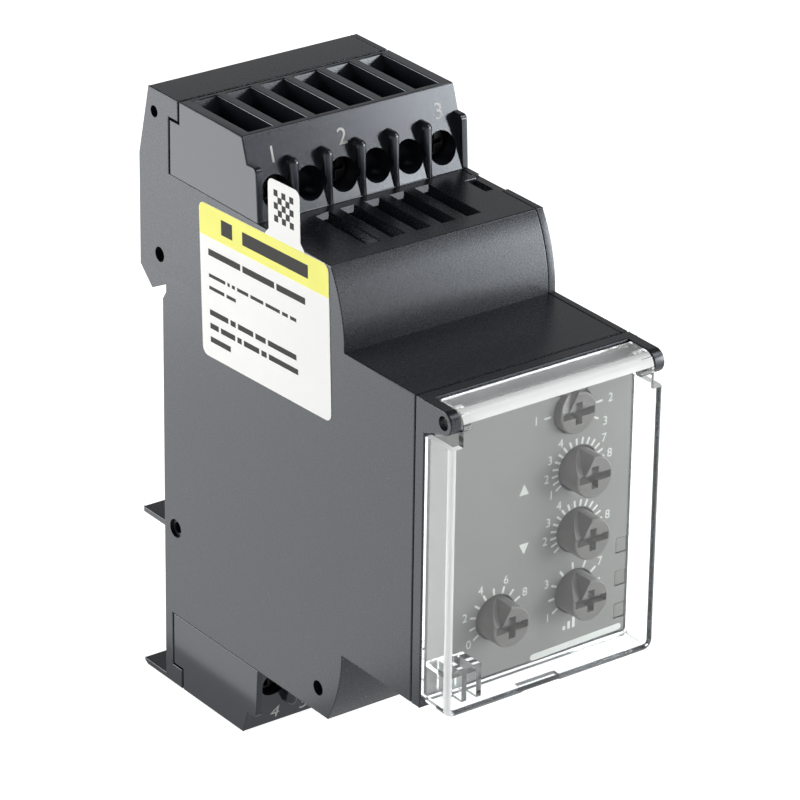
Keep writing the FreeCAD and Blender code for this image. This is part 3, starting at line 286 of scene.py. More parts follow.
class RelayColours(bpy.types.PropertyGroup):
    """Colours of the finish, as sRGB hex values."""

    case: bpy.props.StringProperty(
        name="Case", description="Moulded case", default="1a1c20")
    panel: bpy.props.StringProperty(
        name="Panel", description="Panel behind the clear cover", default="6d6c6b")
    dial: bpy.props.StringProperty(
        name="Dials", description="Setting knobs", default="545250")
    ink: bpy.props.StringProperty(
        name="Ink", description="Printed marks on panel and terminals", default="c2c3c0")
    label: bpy.props.StringProperty(
        name="Label", description="Label film", default="f8f8f6")
    band: bpy.props.StringProperty(
        name="Band", description="Coloured band on the label", default="fffd86")
    lines: bpy.props.StringProperty(
        name="Lines", description="Bars printed on the label", default="2c2c2a")


def linear(code, strength=1.0):
    """Linear colour from an sRGB hex value."""
    values = []
    for start in (0, 2, 4):
        share = int(code[start:start + 2], 16) / 255
        level = share / 12.92 if share <= 0.04045 else ((share + 0.055) / 1.055) ** 2.4
        values.append(level * strength)
    return (*values, 1.0)


def add(tree, kind, inputs=None, links=None, **settings):
    """Node with its settings, socket values and incoming links."""
    node = tree.nodes.new(kind)
    for key, value in settings.items():
        setattr(node, key, value)
    for key, value in (inputs or {}).items():
        node.inputs[key].default_value = value
    for key, socket in (links or {}).items():
        tree.links.new(socket, node.inputs[key])
    return node


def start_material(name, colour, roughness, **sockets):
    """Material with a plain Principled shader to build on."""
    material = bpy.data.materials.new(name)
    material.use_nodes = True
    tree = material.node_tree
    tree.nodes.clear()
    values = {"Base Color": colour, "Roughness": roughness}
    values.update({key.replace("_", " "): value for key, value in sockets.items()})
    shader = add(tree, "ShaderNodeBsdfPrincipled", values)
    add(tree, "ShaderNodeOutputMaterial", links={"Surface": shader.outputs["BSDF"]})
    return material, tree, shader


def grained(name, code, roughness, grain, relief, spread, **sockets):
    """Material whose tone, gloss and relief vary with a grain of a given width, on Object coordinates."""
    material, tree, shader = start_material(name, linear(code), roughness, **sockets)
    low, high = NOISE_LIMITS
    place = add(tree, "ShaderNodeTexCoord").outputs["Object"]
    fine = add(tree, "ShaderNodeTexNoise", {"Scale": 1 / grain, "Detail": 2.0, "Roughness": 0.55},
               {"Vector": place}).outputs["Fac"]
    broad = add(tree, "ShaderNodeTexNoise", {"Scale": 1 / CLOUD, "Detail": 3.0, "Roughness": 0.6},
                {"Vector": place}).outputs["Fac"]
    tone = add(tree, "ShaderNodeValToRGB", links={"Fac": broad})
    tone.color_ramp.elements[0].position = low
    tone.color_ramp.elements[0].color = linear(code, 1 - spread)
    tone.color_ramp.elements[1].position = high
    tone.color_ramp.elements[1].color = linear(code, 1 + spread)
    gloss = add(tree, "ShaderNodeMapRange",
                {"From Min": low, "From Max": high,
                 "To Min": roughness - GLOSS_SPREAD, "To Max": roughness + GLOSS_SPREAD},
                {"Value": fine})
    bump = add(tree, "ShaderNodeBump", {"Strength": BUMP_STRENGTH, "Distance": relief}, {"Height": fine})
    tree.links.new(tone.outputs["Color"], shader.inputs["Base Color"])
    tree.links.new(gloss.outputs["Result"], shader.inputs["Roughness"])
    tree.links.new(bump.outputs["Normal"], shader.inputs["Normal"])
    return material


def case_polyamide():
    """Glass-filled polyamide from a spark-eroded mould: near black, fine sandy grain, soft grey sheen."""
    return grained("case_polyamide", bpy.context.scene.relay_colours.case, roughness=0.28,
                   grain=bpy.context.scene.relay_sizes.grain, relief=0.010 * MM, spread=0.06,
                   IOR=1.6, Specular_Tint=linear(COOL_SHEEN))


def block_polyamide():
    """Polished-mould polyamide of the terminal blocks: nearly the same black, a smooth satin sheen."""
    return grained("block_polyamide", "202228", roughness=0.18,
                   grain=bpy.context.scene.relay_sizes.grain, relief=0.004 * MM, spread=0.05,
                   IOR=1.6, Specular_Tint=linear(COOL_SHEEN))


def panel_polyamide():
    """Even fine-matt field of the front panel: a lighter grey that the clear cover washes out."""
    return grained("panel_polyamide", bpy.context.scene.relay_colours.panel, roughness=0.5,
                   grain=0.2 * MM, relief=0.0003 * MM, spread=0.02, IOR=1.5)


def dial_polyamide():
    """Satin moulded knobs: warm grey with a soft even sheen."""
    return grained("dial_polyamide", bpy.context.scene.relay_colours.dial, roughness=0.42,
                   grain=0.18 * MM, relief=0.001 * MM, spread=0.03, IOR=1.5)


def clip_acetal():
    """Black acetal of the rail clip: waxy, with a grain a little broader than the case's."""
    return grained("clip_acetal", "1d1e20", roughness=0.33,
                   grain=0.3 * MM, relief=0.004 * MM, spread=0.05, IOR=1.48)


def pass_lamps(tree, surface, code):
    """Ends a clear material: a lamp's light passes it, tinted, and the eye sees its surface."""
    path = add(tree, "ShaderNodeLightPath")
    through = add(tree, "ShaderNodeBsdfTransparent", {"Color": linear(code)})
    mix = add(tree, "ShaderNodeMixShader", None,
              {0: path.outputs["Is Shadow Ray"], 1: surface, 2: through.outputs["BSDF"]})
    tree.links.new(mix.outputs["Shader"], tree.nodes["Material Output"].inputs["Surface"])


def clear_polycarbonate(name, code, roughness, mirror="ffffff"):
    """Clear moulded polycarbonate: bright at its edges, lamps pass through it to the panel."""
    material, tree, shader = start_material(name, linear(code), roughness, IOR=CLEAR_IOR,
                                            Transmission_Weight=1.0, Specular_Tint=linear(mirror))
    pass_lamps(tree, shader.outputs["BSDF"], "f4f6f6")
    return material


def painted_highlight_polycarbonate(name, clarity):
    """Milky clear moulding, a painted highlight: white for the light that runs inside the sheet, which its
    translucent share also gathers.
    """
    code = "fcfdfd"
    material, tree, shader = start_material(name, linear(code), roughness=0.25, IOR=CLEAR_IOR,
                                            Transmission_Weight=clarity)
    # A third of what isn't clear glows with the light from behind
    glow = add(tree, "ShaderNodeBsdfTranslucent", {"Color": linear(code)})
    painted_glow_mix = add(tree, "ShaderNodeMixShader", {0: (1 - clarity) / 3},
                {1: shader.outputs["BSDF"], 2: glow.outputs["BSDF"]})
    pass_lamps(tree, painted_glow_mix.outputs["Shader"], "d8dada")
    return material


def diffusing_polycarbonate():
    """Smoky light-spreading windows over the lamps: almost as grey as the panel while the lamps are off."""
    return grained("diffusing_polycarbonate", "74746f", roughness=0.35,
                   grain=0.2 * MM, relief=0.001 * MM, spread=0.03, IOR=CLEAR_IOR, Transmission_Weight=0.3)


def printed_ink(name, code):
    """Pad-printed ink: flat, with the slight mottle of a thin coat."""
    return grained(name, code, roughness=0.55, grain=0.15 * MM, relief=0.002 * MM, spread=0.04, IOR=1.3)


def label_film():
    """Coated label film: smooth, with a low satin gloss and a trace of paper cloud."""
    return grained("label_film", bpy.context.scene.relay_colours.label, roughness=0.45,
                   grain=0.35 * MM, relief=0.002 * MM, spread=0.012)


def drawn_metal(name, code, roughness, grain):
    """Drawn or plated metal: a fine uneven coat, soft reflections."""
    return grained(name, code, roughness, grain, relief=0.003 * MM, spread=0.08, Metallic=1.0)


def coated_laminate():
    """Board laminate under green solder mask: glossy coat over a faint weave."""
    return grained("coated_laminate", "1d5a3a", roughness=0.32,
                   grain=0.5 * MM, relief=0.004 * MM, spread=0.1, Coat_Weight=0.4)


def moulded_body(name, code):
    """Moulded resin of small parts: semi-gloss with a fine grain."""
    return grained(name, code, roughness=0.38, grain=0.25 * MM, relief=0.004 * MM, spread=0.06)


def at(x, y, z):
    """Point in the part's frame, from millimetres about mid-height."""
    return Vector((x, y, z + RAIL_DROP)) * MM


def merged(node):
    """Copy of a CAD node's mesh with its loose triangles joined into whole faces."""
    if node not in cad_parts:
        raise RuntimeError("the frame has no node named " + node)
    work = bmesh.new()
    work.from_mesh(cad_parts[node].data)
    bmesh.ops.remove_doubles(work, verts=work.verts, dist=WELD)
    bmesh.ops.dissolve_limit(work, angle_limit=math.radians(FLAT_TURN), verts=work.verts, edges=work.edges)
    return work


def round_edges(work, radius):
    """Rounds the long outer edges where two faces meet at a clear angle."""
    limit = math.radians(EDGE_TURN)
    chosen = []
    for edge in work.edges:
        if len(edge.link_faces) == 2 and edge.is_convex and edge.calc_face_angle(0) > limit:
            if edge.calc_length() > EDGE_LEAST * radius:
                chosen.append(edge)
    bmesh.ops.bevel(work, geom=chosen, offset=radius, offset_type="OFFSET", segments=EDGE_SEGMENTS,
                    profile=0.5, affect="EDGES", clamp_overlap=False)


def face_y(z):
    """Depth of a terminal block's sloped face at a height above mid-height."""
    return BLOCK_TOP_Y - FACE_RUN * (BLOCK_TOP_Z - z) / (BLOCK_TOP_Z - DECK_Z)


def fin_half(z):
    """Half the width of a fin at a height above mid-height."""
    shoulder = FIN_HEAD_Z - FIN_WIDTH / 2
    if z > shoulder:
        return math.sqrt(max(FIN_WIDTH ** 2 / 4 - (z - shoulder) ** 2, FIN_TIP_SQUARE))
    return FIN_FOOT_WIDTH / 2 + (FIN_WIDTH - FIN_FOOT_WIDTH) / 2 * (z - DECK_Z) / (shoulder - DECK_Z)


def on_fin(point, middle, side):
    """True for a face middle on the front of the fin about a given place."""
    x, y, z = point / MM
    z = side * (z - RAIL_DROP)
    return abs(x - middle) < FIN_WIDTH / 2 and DECK_Z < z < FIN_HEAD_Z and face_y(z) - y > 2 * TOUCH


def round_fins(work, side):
    """Gives the square ribs between the screw holes a full-round top. Side is 1 above, -1 below."""
    taper = (FIN_WIDTH - FIN_FOOT_WIDTH) / 2 / (FIN_HEAD_Z - FIN_WIDTH / 2 - DECK_Z)
    for middle in FIN_MIDDLES:
        for share in FIN_LINES:
            faces = [face for face in work.faces if on_fin(face.calc_center_median(), middle, side)]
            edges = {edge for face in faces for edge in face.edges}
            verts = {vert for face in faces for vert in face.verts}
            foot = at(middle + share * FIN_FOOT_WIDTH / 2, 0, side * DECK_Z)
            bmesh.ops.bisect_plane(work, geom=list(verts) + list(edges) + faces, dist=WELD / 10,
                                   plane_co=foot, plane_no=Vector((1, 0, -side * share * taper)))
    for vert in work.verts:
        x, y, z = vert.co / MM
        z = side * (z - RAIL_DROP)
        stand = face_y(z) - y
        aside = min(abs(x - middle) for middle in FIN_MIDDLES)
        in_reach = aside < FIN_WIDTH / 2 + FIN_MARGIN and DECK_Z < z < FIN_HEAD_Z + FIN_MARGIN
        if in_reach and stand > TOUCH:
            half = fin_half(z)
            share = min(aside / half, 1.0)
            drop = half * (1 - math.sqrt(1 - share ** 2))
            vert.co.y += min(drop, FIN_DROP_LIMIT * stand) * MM


def open_seam(work):
    """Sets the rear rim of the bezel forward, which leaves the dark joint line between it and the shell."""
    for vert in work.verts:
        gap = SEAM_Y - vert.co.y / MM
        if -TOUCH < gap < SEAM_OPEN:
            vert.co.y -= SEAM_OPEN * MM


def smooth_faces(work):
    """Smooth shading, broken where faces meet at a clear angle."""
    limit = math.radians(SHADE_TURN)
    for face in work.faces:
        face.smooth = True
    for edge in work.edges:
        edge.smooth = len(edge.link_faces) == 2 and edge.calc_face_angle(0) < limit


def keep_inside(work, node):
    """Holds a finished mesh inside the box of the CAD node that it stands for."""
    low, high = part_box(node)
    for vert in work.verts:
        vert.co = Vector(min(max(place, least), most) for place, least, most in zip(vert.co, low, high))


def linked(name, data):
    """Object in the scene for a mesh, curve, lamp or camera."""
    item = bpy.data.objects.new(name, data)
    bpy.context.scene.collection.objects.link(item)
    return item


def settled(item):
    """Plain mesh of an object as its text or modifiers leave it."""
    graph = bpy.context.evaluated_depsgraph_get()
    return bpy.data.meshes.new_from_object(item.evaluated_get(graph))


def make_piece(name, work, materials, body, nodes=(), weighted=True):
    """Finished object from a working mesh: on its body, standing in for CAD nodes."""
    for node in nodes:
        keep_inside(work, node)
    mesh = bpy.data.meshes.new(name)
    work.to_mesh(mesh)
    work.free()
    for material in materials:
        mesh.materials.append(material)
    piece = linked(name, mesh)
    if weighted:
        modifier = piece.modifiers.new("Weighted Normals", "WEIGHTED_NORMAL")
        modifier.keep_sharp = True
        final = settled(piece)
        piece.modifiers.clear()
        piece.data = final
        bpy.data.meshes.remove(mesh)
        final.name = name
    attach(piece, body)
    if nodes:
        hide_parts(*nodes)
    return piece


def dress(node, material, body, radius, form="moulding"):
    """Finished stand-in for one CAD node: joined, edges rounded, smooth."""
    work = merged(node)
    if radius > 0:
        round_edges(work, radius)
    smooth_faces(work)
    return make_piece(node + "_" + form, work, [material], body, [node])


def paint(node, material):
    """Material on a CAD node that keeps its own shape."""
    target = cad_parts[node].data
    target.materials.clear()
    target.materials.append(material)


def text_mesh(words, height, sheet):
    """Flat mesh of a word, centred at the origin in the XY plane, facing +Z."""
    curve = bpy.data.curves.new("words", "FONT")
    curve.body = words
    curve.size = height / NUMERAL_SHARE
    curve.align_x = "CENTER"
    curve.align_y = "CENTER"
    curve.extrude = sheet / 2
    curve.resolution_u = LETTER_STEPS
    holder = linked("words", curve)
    mesh = settled(holder)
    bpy.data.objects.remove(holder)
    bpy.data.curves.remove(curve)
    return mesh


def facing(origin, right, up):
    """Matrix that lays a flat mark at a point, given its right and up directions."""
    out = right.cross(up)
    matrix = Matrix((right, up, out)).transposed().to_4x4()
    matrix.translation = origin
    return matrix


def panel_place(x, z):
    """Matrix for a mark printed on the front panel."""
    sheet = bpy.context.scene.relay_sizes.print_sheet
    return facing(at(x, PANEL_Y, z) - Vector((0, sheet / 2, 0)), Vector((1, 0, 0)), Vector((0, 0, 1)))


def add_mesh(work, mesh, matrix):
    """Adds a mesh to a working mesh at a place, then drops it."""
    mesh.transform(matrix)
    work.from_mesh(mesh)
    bpy.data.meshes.remove(mesh)


def add_plate(work, outline, sheet, matrix):
    """Adds a flat plate with a given outline, as thick as the print."""
    low = [work.verts.new(matrix @ Vector((x, y, -sheet / 2))) for x, y in outline]
    high = [work.verts.new(matrix @ Vector((x, y, sheet / 2))) for x, y in outline]
    work.faces.new(high)
    work.faces.new(list(reversed(low)))
    count = len(outline)
    for index in range(count):
        after = (index + 1) % count
        work.faces.new((low[index], low[after], high[after], high[index]))


def rectangle(width, height, x=0.0, y=0.0):
    """Outline of a rectangle about a point."""
    return [(x - width / 2, y - height / 2), (x + width / 2, y - height / 2),
            (x + width / 2, y + height / 2), (x - width / 2, y + height / 2)]


def rounded_bar(length, height):
    """Outline of a bar with round ends, lying along X about its centre."""
    radius = height / 2
    reach = length / 2 - radius
    points = []
    for side, base in ((1, -90.0), (-1, 90.0)):
        for step in range(ROUND_STEPS + 1):
            turn = math.radians(base + 180.0 * step / ROUND_STEPS)
            points.append((side * reach + radius * math.cos(turn), radius * math.sin(turn)))
    return points


def band_outline(width, height):
    """Outline of the label's band, from the label's front upper corner, with both upper corners round."""
    margin = BAND_MARGIN * MM
    corner = BAND_CORNER * MM
    points = [(margin - width, -height), (-margin, -height)]
    for middle, base in ((-corner - margin, 0.0), (corner + margin - width, 90.0)):
        for step in range(ROUND_STEPS + 1):
            turn = math.radians(base + 90.0 * step / ROUND_STEPS)
            points.append((middle + corner * math.cos(turn), -corner - margin + corner * math.sin(turn)))
    return points


def start_tree(name, sockets):
    """Geometry node tree with named inputs and one mesh out, and the sockets of its inputs."""
    tree = bpy.data.node_groups.new(name, "GeometryNodeTree")
    for label, kind in sockets:
        tree.interface.new_socket(name=label, in_out="INPUT", socket_type="NodeSocket" + kind)
    tree.interface.new_socket(name="Geometry", in_out="OUTPUT", socket_type="NodeSocketGeometry")
    return tree, add(tree, "NodeGroupInput").outputs


def tick_tree():
    """Node tree that sets scale marks round a dial, in the XY plane."""
    tree, given = start_tree("dial_ticks", (
        ("Count", "Int"), ("Radius", "Float"), ("Length", "Float"), ("Width", "Float"),
        ("Sheet", "Float"), ("Start", "Float"), ("Sweep", "Float"), ("Ink", "Material")))
    row = add(tree, "GeometryNodeMeshLine", {"Offset": (0, 0, 0)}, {"Count": given["Count"]})
    gaps = add(tree, "ShaderNodeMath", {1: 1.0}, {0: given["Count"]}, operation="SUBTRACT")
    step = add(tree, "ShaderNodeMath", None, {0: given["Sweep"], 1: gaps.outputs[0]}, operation="DIVIDE")
    index = add(tree, "GeometryNodeInputIndex")
    turn = add(tree, "ShaderNodeMath", None,
               {0: index.outputs[0], 1: step.outputs[0], 2: given["Start"]}, operation="MULTIPLY_ADD")
    across = add(tree, "ShaderNodeMath", None, {0: turn.outputs[0]}, operation="COSINE")
    upward = add(tree, "ShaderNodeMath", None, {0: turn.outputs[0]}, operation="SINE")
    x = add(tree, "ShaderNodeMath", None, {0: across.outputs[0], 1: given["Radius"]}, operation="MULTIPLY")
    y = add(tree, "ShaderNodeMath", None, {0: upward.outputs[0], 1: given["Radius"]}, operation="MULTIPLY")
    spot = add(tree, "ShaderNodeCombineXYZ", None, {"X": x.outputs[0], "Y": y.outputs[0]})
    ring = add(tree, "GeometryNodeSetPosition", None,
               {"Geometry": row.outputs["Mesh"], "Position": spot.outputs[0]})
    size = add(tree, "ShaderNodeCombineXYZ", None,
               {"X": given["Length"], "Y": given["Width"], "Z": given["Sheet"]})
    bar = add(tree, "GeometryNodeMeshCube", None, {"Size": size.outputs[0]})
    lean = add(tree, "ShaderNodeCombineXYZ", None, {"Z": turn.outputs[0]})
    marks = add(tree, "GeometryNodeInstanceOnPoints", None,
                {"Points": ring.outputs[0], "Instance": bar.outputs["Mesh"], "Rotation": lean.outputs[0]})
    real = add(tree, "GeometryNodeRealizeInstances", None, {"Geometry": marks.outputs[0]})
    inked = add(tree, "GeometryNodeSetMaterial", None,
                {"Geometry": real.outputs[0], "Material": given["Ink"]})
    add(tree, "NodeGroupOutput", None, {"Geometry": inked.outputs[0]})
    return tree


def thread_tree():
    """Node tree that winds a thread ridge along +Z."""
    tree, given = start_tree("screw_thread", (
        ("Turns", "Float"), ("Height", "Float"), ("Radius", "Float"), ("Ridge", "Float"),
        ("Metal", "Material")))
    helix = add(tree, "GeometryNodeCurveSpiral", {"Resolution": 20},
                {"Rotations": given["Turns"], "Start Radius": given["Radius"],
                 "End Radius": given["Radius"], "Height": given["Height"]})
    ridge = add(tree, "GeometryNodeCurvePrimitiveCircle", {"Resolution": 4}, {"Radius": given["Ridge"]})
    wound = add(tree, "GeometryNodeCurveToMesh", {"Fill Caps": True},
                {"Curve": helix.outputs[0], "Profile Curve": ridge.outputs[0]})
    real = add(tree, "GeometryNodeRealizeInstances", None, {"Geometry": wound.outputs[0]})
    plated = add(tree, "GeometryNodeSetMaterial", None,
                 {"Geometry": real.outputs[0], "Material": given["Metal"]})
    add(tree, "NodeGroupOutput", None, {"Geometry": plated.outputs[0]})
    return tree


def grown(tree, values):
    """Plain mesh that a node tree gives for some inputs."""
    base = bpy.data.meshes.new("grown")
    holder = linked("grown", base)
    modifier = holder.modifiers.new("Nodes", "NODES")
    modifier.node_group = tree
    for item in tree.interface.items_tree:
        if item.in_out == "INPUT":
            modifier[item.identifier] = values[item.name]
    mesh = settled(holder)
    holder.modifiers.clear()
    bpy.data.objects.remove(holder)
    bpy.data.meshes.remove(base)
    if not mesh.polygons:
        raise RuntimeError("the tree " + tree.name + " gave no faces")
    return mesh


class RELAY_OT_case(bpy.types.Operator):
    """Moulded case: shell, side cover, bezel with its panel field, and both terminal blocks"""

    bl_idname = "relay.case"
    bl_label = "Case"

    def execute(self, context):
        size = context.scene.relay_sizes
        case = case_polyamide()
        dress("housing_shell", case, "housing", size.edge_round)
        dress("side_cover", case, "housing", size.edge_round)
        block = block_polyamide()
        for node, side in (("upper_terminal_block", 1), ("lower_terminal_block", -1)):
            work = merged(node)
            round_fins(work, side)
            round_edges(work, size.edge_round)
            smooth_faces(work)
            make_piece(node + "_moulding", work, [block], "housing", [node])
        work = merged("front_bezel")
        open_seam(work)
        round_edges(work, size.edge_round)
        smooth_faces(work)
        for face in work.faces:
            x, y, _ = face.calc_center_median() / MM
            on_panel = face.normal.y < -HALF_ON and y < PANEL_Y + PANEL_SKIN and abs(x) < EAR_INNER_X
            face.material_index = 1 if on_panel else 0
        make_piece("front_bezel_moulding", work, [case, panel_polyamide()], "housing",
                   ["front_bezel"])
        return {"FINISHED"}


def cover_finish(face, low, high):
    """Finish of one face of the cover, from its place and its normal."""
    place = face.calc_center_median()
    x, _, z = place / MM
    normal = face.normal
    beside = abs(x) > EAR_INNER_X
    height = z - RAIL_DROP
    # Pin ends in the ears take the near-black painted shade
    if beside and height > EAR_LOW_Z:
        return PIN_END
    rear_rim = normal.y > NEAR_ON and place.y > high.y - COVER_RIM * MM
    wall_top = normal.z > NEAR_ON and beside
    near_front = place.y < low.y + COVER_ROUND_DEPTH * MM
    round_top = height > COVER_ROUND_Z and normal.y < -ROUND_LEAN and near_front
    left_edge = normal.x < -EDGE_LEAN and normal.y < -EDGE_LEAN and height < COVER_ROUND_Z
    # Rear rim, wall tops, round top and left edge take the milky painted highlight
    if rear_rim or wall_top or round_top or left_edge:
        return PAINTED_HIGHLIGHT
    # The hood top takes the milky haze of painted sheen
    if normal.z > NEAR_ON and height > COVER_ROUND_Z:
        return PAINTED_SHEEN
    return COATED if abs(normal.y) > FLAT_ON else POLISHED


class RELAY_OT_clear_parts(bpy.types.Operator):
    """Clear hinged cover, indicator windows and lamps"""

    bl_idname = "relay.clear_parts"
    bl_label = "Clear Parts"

    def execute(self, context):
        finishes = [
            clear_polycarbonate("clear_polycarbonate", "fbfdfd", roughness=0.015),
            # Pin ends inside the ears: near black, painted shade for the shadow in the ear bores
            clear_polycarbonate("painted_shade_polycarbonate", "0c0c0c", roughness=0.5),
            # Edges of the cover: milky white, a painted highlight for the light piped along the sheet
            painted_highlight_polycarbonate("painted_highlight_edge", clarity=0.1),
            # Front sheet, whose coat mirrors less
            clear_polycarbonate("hard_coated_polycarbonate", "fbfdfd", roughness=0.015, mirror="bcbcbc"),
            # Top of the hood: a milky haze, painted sheen
            painted_highlight_polycarbonate("painted_sheen_polycarbonate", clarity=0.8),
        ]
        work = merged("front_cover")
        smooth_faces(work)
        low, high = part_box("front_cover")
        for face in work.faces:
            face.material_index = cover_finish(face, low, high)
        make_piece("front_cover_moulding", work, finishes, "cover", ["front_cover"])
        diffuser = diffusing_polycarbonate()
        for index in (1, 2, 3):
            dress("indicator_window_%d" % index, diffuser, "housing", 0.0)
        paint("indicator_lamps", clear_polycarbonate("lamp_epoxy", "d9d6cc", roughness=0.35))
        return {"FINISHED"}


class RELAY_OT_dials(bpy.types.Operator):
    """Four setting knobs and the range knob"""

    bl_idname = "relay.dials"
    bl_label = "Dials"

    def execute(self, context):
        satin = dial_polyamide()
        # Floors of the cross slots: darker, painted shade for the shadow in the slots
        painted_shade = moulded_body("slot_painted_shade", "242322")
        least, most = SLOT_DEPTHS
        for name in list(SCALES) + ["range"]:
            node = name + "_knob"
            work = merged(node)
            smooth_faces(work)
            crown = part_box(node)[0].y
            for face in work.faces:
                depth = face.calc_center_median().y - crown
                slot_floor = face.normal.y < -FLAT_ON and least * MM < depth < most * MM
                face.material_index = 1 if slot_floor else 0
            make_piece(node + "_moulding", work, [satin, painted_shade], name + "_dial", [node])
        return {"FINISHED"}


def round_dial(centre, turn, radius):
    """Place (x, z) at a turn round a dial, in degrees, and a radius."""
    along = math.radians(turn)
    return centre[0] + radius * math.cos(along), centre[1] + radius * math.sin(along)


class RELAY_OT_scales(bpy.types.Operator):
    """Printed scales, numbers and signs on the front panel"""

    bl_idname = "relay.scales"
    bl_label = "Scales"

    def execute(self, context):
        size = context.scene.relay_sizes
        sheet = size.print_sheet
        ink = printed_ink("panel_ink", context.scene.relay_colours.ink)
        tree = tick_tree()
        work = bmesh.new()
        for centre, count, numbers in SCALES.values():
            values = {"Count": count, "Radius": size.tick_radius, "Length": size.tick_length,
                      "Width": size.tick_width, "Sheet": sheet, "Ink": ink,
                      "Start": math.radians(SCALE_START), "Sweep": math.radians(SCALE_SWEEP)}
            add_mesh(work, grown(tree, values), panel_place(*centre))
            for index, number in numbers.items():
                turn = SCALE_START + SCALE_SWEEP * index / (count - 1)
                place = round_dial(centre, turn, size.number_radius / MM)
                add_mesh(work, text_mesh(number, size.number_height, sheet), panel_place(*place))
        long, wide = RANGE_TICK
        for turn, number in RANGE_MARKS.items():
            place = round_dial(RANGE_DIAL, turn, RANGE_NUMBER_RADIUS)
            add_mesh(work, text_mesh(number, size.number_height, sheet), panel_place(*place))
            place = round_dial(RANGE_DIAL, turn, RANGE_TICK_RADIUS)
            lean = Matrix.Rotation(math.radians(turn), 4, "Z")
            add_plate(work, rectangle(long * MM, wide * MM), sheet, panel_place(*place) @ lean)
        half = ARROW_HALF * MM
        arrow = [(-half, -half), (half, -half), (0, half)]
        for x, z, turn in ARROWS:
            add_plate(work, arrow, sheet, panel_place(x, z) @ Matrix.Rotation(turn, 4, "Z"))
        for step in range(BARS):
            tall = (BAR_LEAST + BAR_RISE * step) * MM
            bar = rectangle(BAR_WIDTH * MM, tall, (step - BARS // 2) * BAR_PITCH * MM, tall / 2)
            add_plate(work, bar, sheet, panel_place(*BARS_PLACE))
        long, tall = LIGHT_BAR_SIZE
        lean = Matrix.Rotation(LIGHT_BAR_LEAN, 4, "Z")
        add_plate(work, rounded_bar(long * MM, tall * MM), sheet, panel_place(*LIGHT_BAR_PLACE) @ lean)
        make_piece("panel_print", work, [ink], "housing", weighted=False)
        return {"FINISHED"}


class RELAY_OT_terminal_numbers(bpy.types.Operator):
    """Printed numbers on the sloped faces of the terminal blocks"""

    bl_idname = "relay.terminal_numbers"
    bl_label = "Terminal Numbers"

    def execute(self, context):
        size = context.scene.relay_sizes
        ink = printed_ink("terminal_ink", context.scene.relay_colours.ink)
        right = Vector((1, 0, 0))
        work = bmesh.new()
        rows = ((1, UPPER_NUMBERS, UPPER_NUMBER_DROP), (-1, LOWER_NUMBERS, LOWER_NUMBER_DROP))
        for side, numbers, drop in rows:
            up = Vector((0, side * math.sin(FACE_SLANT), math.cos(FACE_SLANT)))
            out = right.cross(up)
            for x, number in numbers:
                edge = at(x, BLOCK_TOP_Y, side * BLOCK_TOP_Z)
                origin = edge - up * (side * drop * MM) + out * (size.print_sheet / 2)
                mesh = text_mesh(number, size.terminal_height, size.print_sheet)
                add_mesh(work, mesh, facing(origin, right, up))
        make_piece("terminal_print", work, [ink], "housing", weighted=False)
        return {"FINISHED"}


class RELAY_OT_label(bpy.types.Operator):
    """Stuck-on side label with its coloured band and plain printed bars"""

    bl_idname = "relay.label"
    bl_label = "Side Label"

    def execute(self, context):
        size = context.scene.relay_sizes
        look = context.scene.relay_colours
        film = label_film()
        work = merged("side_label")
        wall = -HALF_WIDTH * MM
        for vertex in work.verts:
            vertex.co.x = wall + (vertex.co.x - wall) * LABEL_SHARE
        smooth_faces(work)
        make_piece("side_label_film", work, [film], "housing", ["side_label"])
        sheet = size.print_sheet
        skin = Vector((sheet, 0, 0))
        origin = at(-HALF_WIDTH - LABEL_SHEET, *LABEL_CORNER) - skin / 2
        right = Vector((0, -math.cos(LABEL_TILT), -math.sin(LABEL_TILT)))
        up = Vector((0, -math.sin(LABEL_TILT), math.cos(LABEL_TILT)))
        on_film = facing(origin, right, up)
        on_band = facing(origin - skin, right, up)
        band = bmesh.new()
        add_plate(band, band_outline(LABEL_WIDTH * MM, size.band_height), sheet, on_film)
        make_piece("side_label_band", band, [printed_ink("band_ink", look.band)], "housing",
                   weighted=False)
        lines = bmesh.new()
        for wide, tall, x, y in BAND_BLOCKS:
            block = rectangle(wide * MM, tall * MM, (x - LABEL_WIDTH) * MM, y * MM)
            add_plate(lines, block, sheet, on_band)
        for drop, tall, words in LABEL_ROWS:
            left = ROW_START - LABEL_WIDTH
            for long in words:
                bar = rectangle(long * MM, tall * MM, (left + long / 2) * MM, -drop * MM)
                add_plate(lines, bar, sheet, on_film)
                left += long + WORD_GAP
        for row in range(TAB_SQUARES):
            for column in range(row % 2, TAB_SQUARES, 2):
                x = (TAB_MIDDLE[0] + (column - TAB_SQUARES // 2) * TAB_SQUARE) * MM
                y = (TAB_MIDDLE[1] + (row - TAB_SQUARES // 2) * TAB_SQUARE) * MM
                add_plate(lines, rectangle(TAB_SQUARE * MM, TAB_SQUARE * MM, x, y), sheet, on_film)
        make_piece("side_label_lines", lines, [printed_ink("label_ink", look.lines)], "housing",
                   weighted=False)
        return {"FINISHED"}


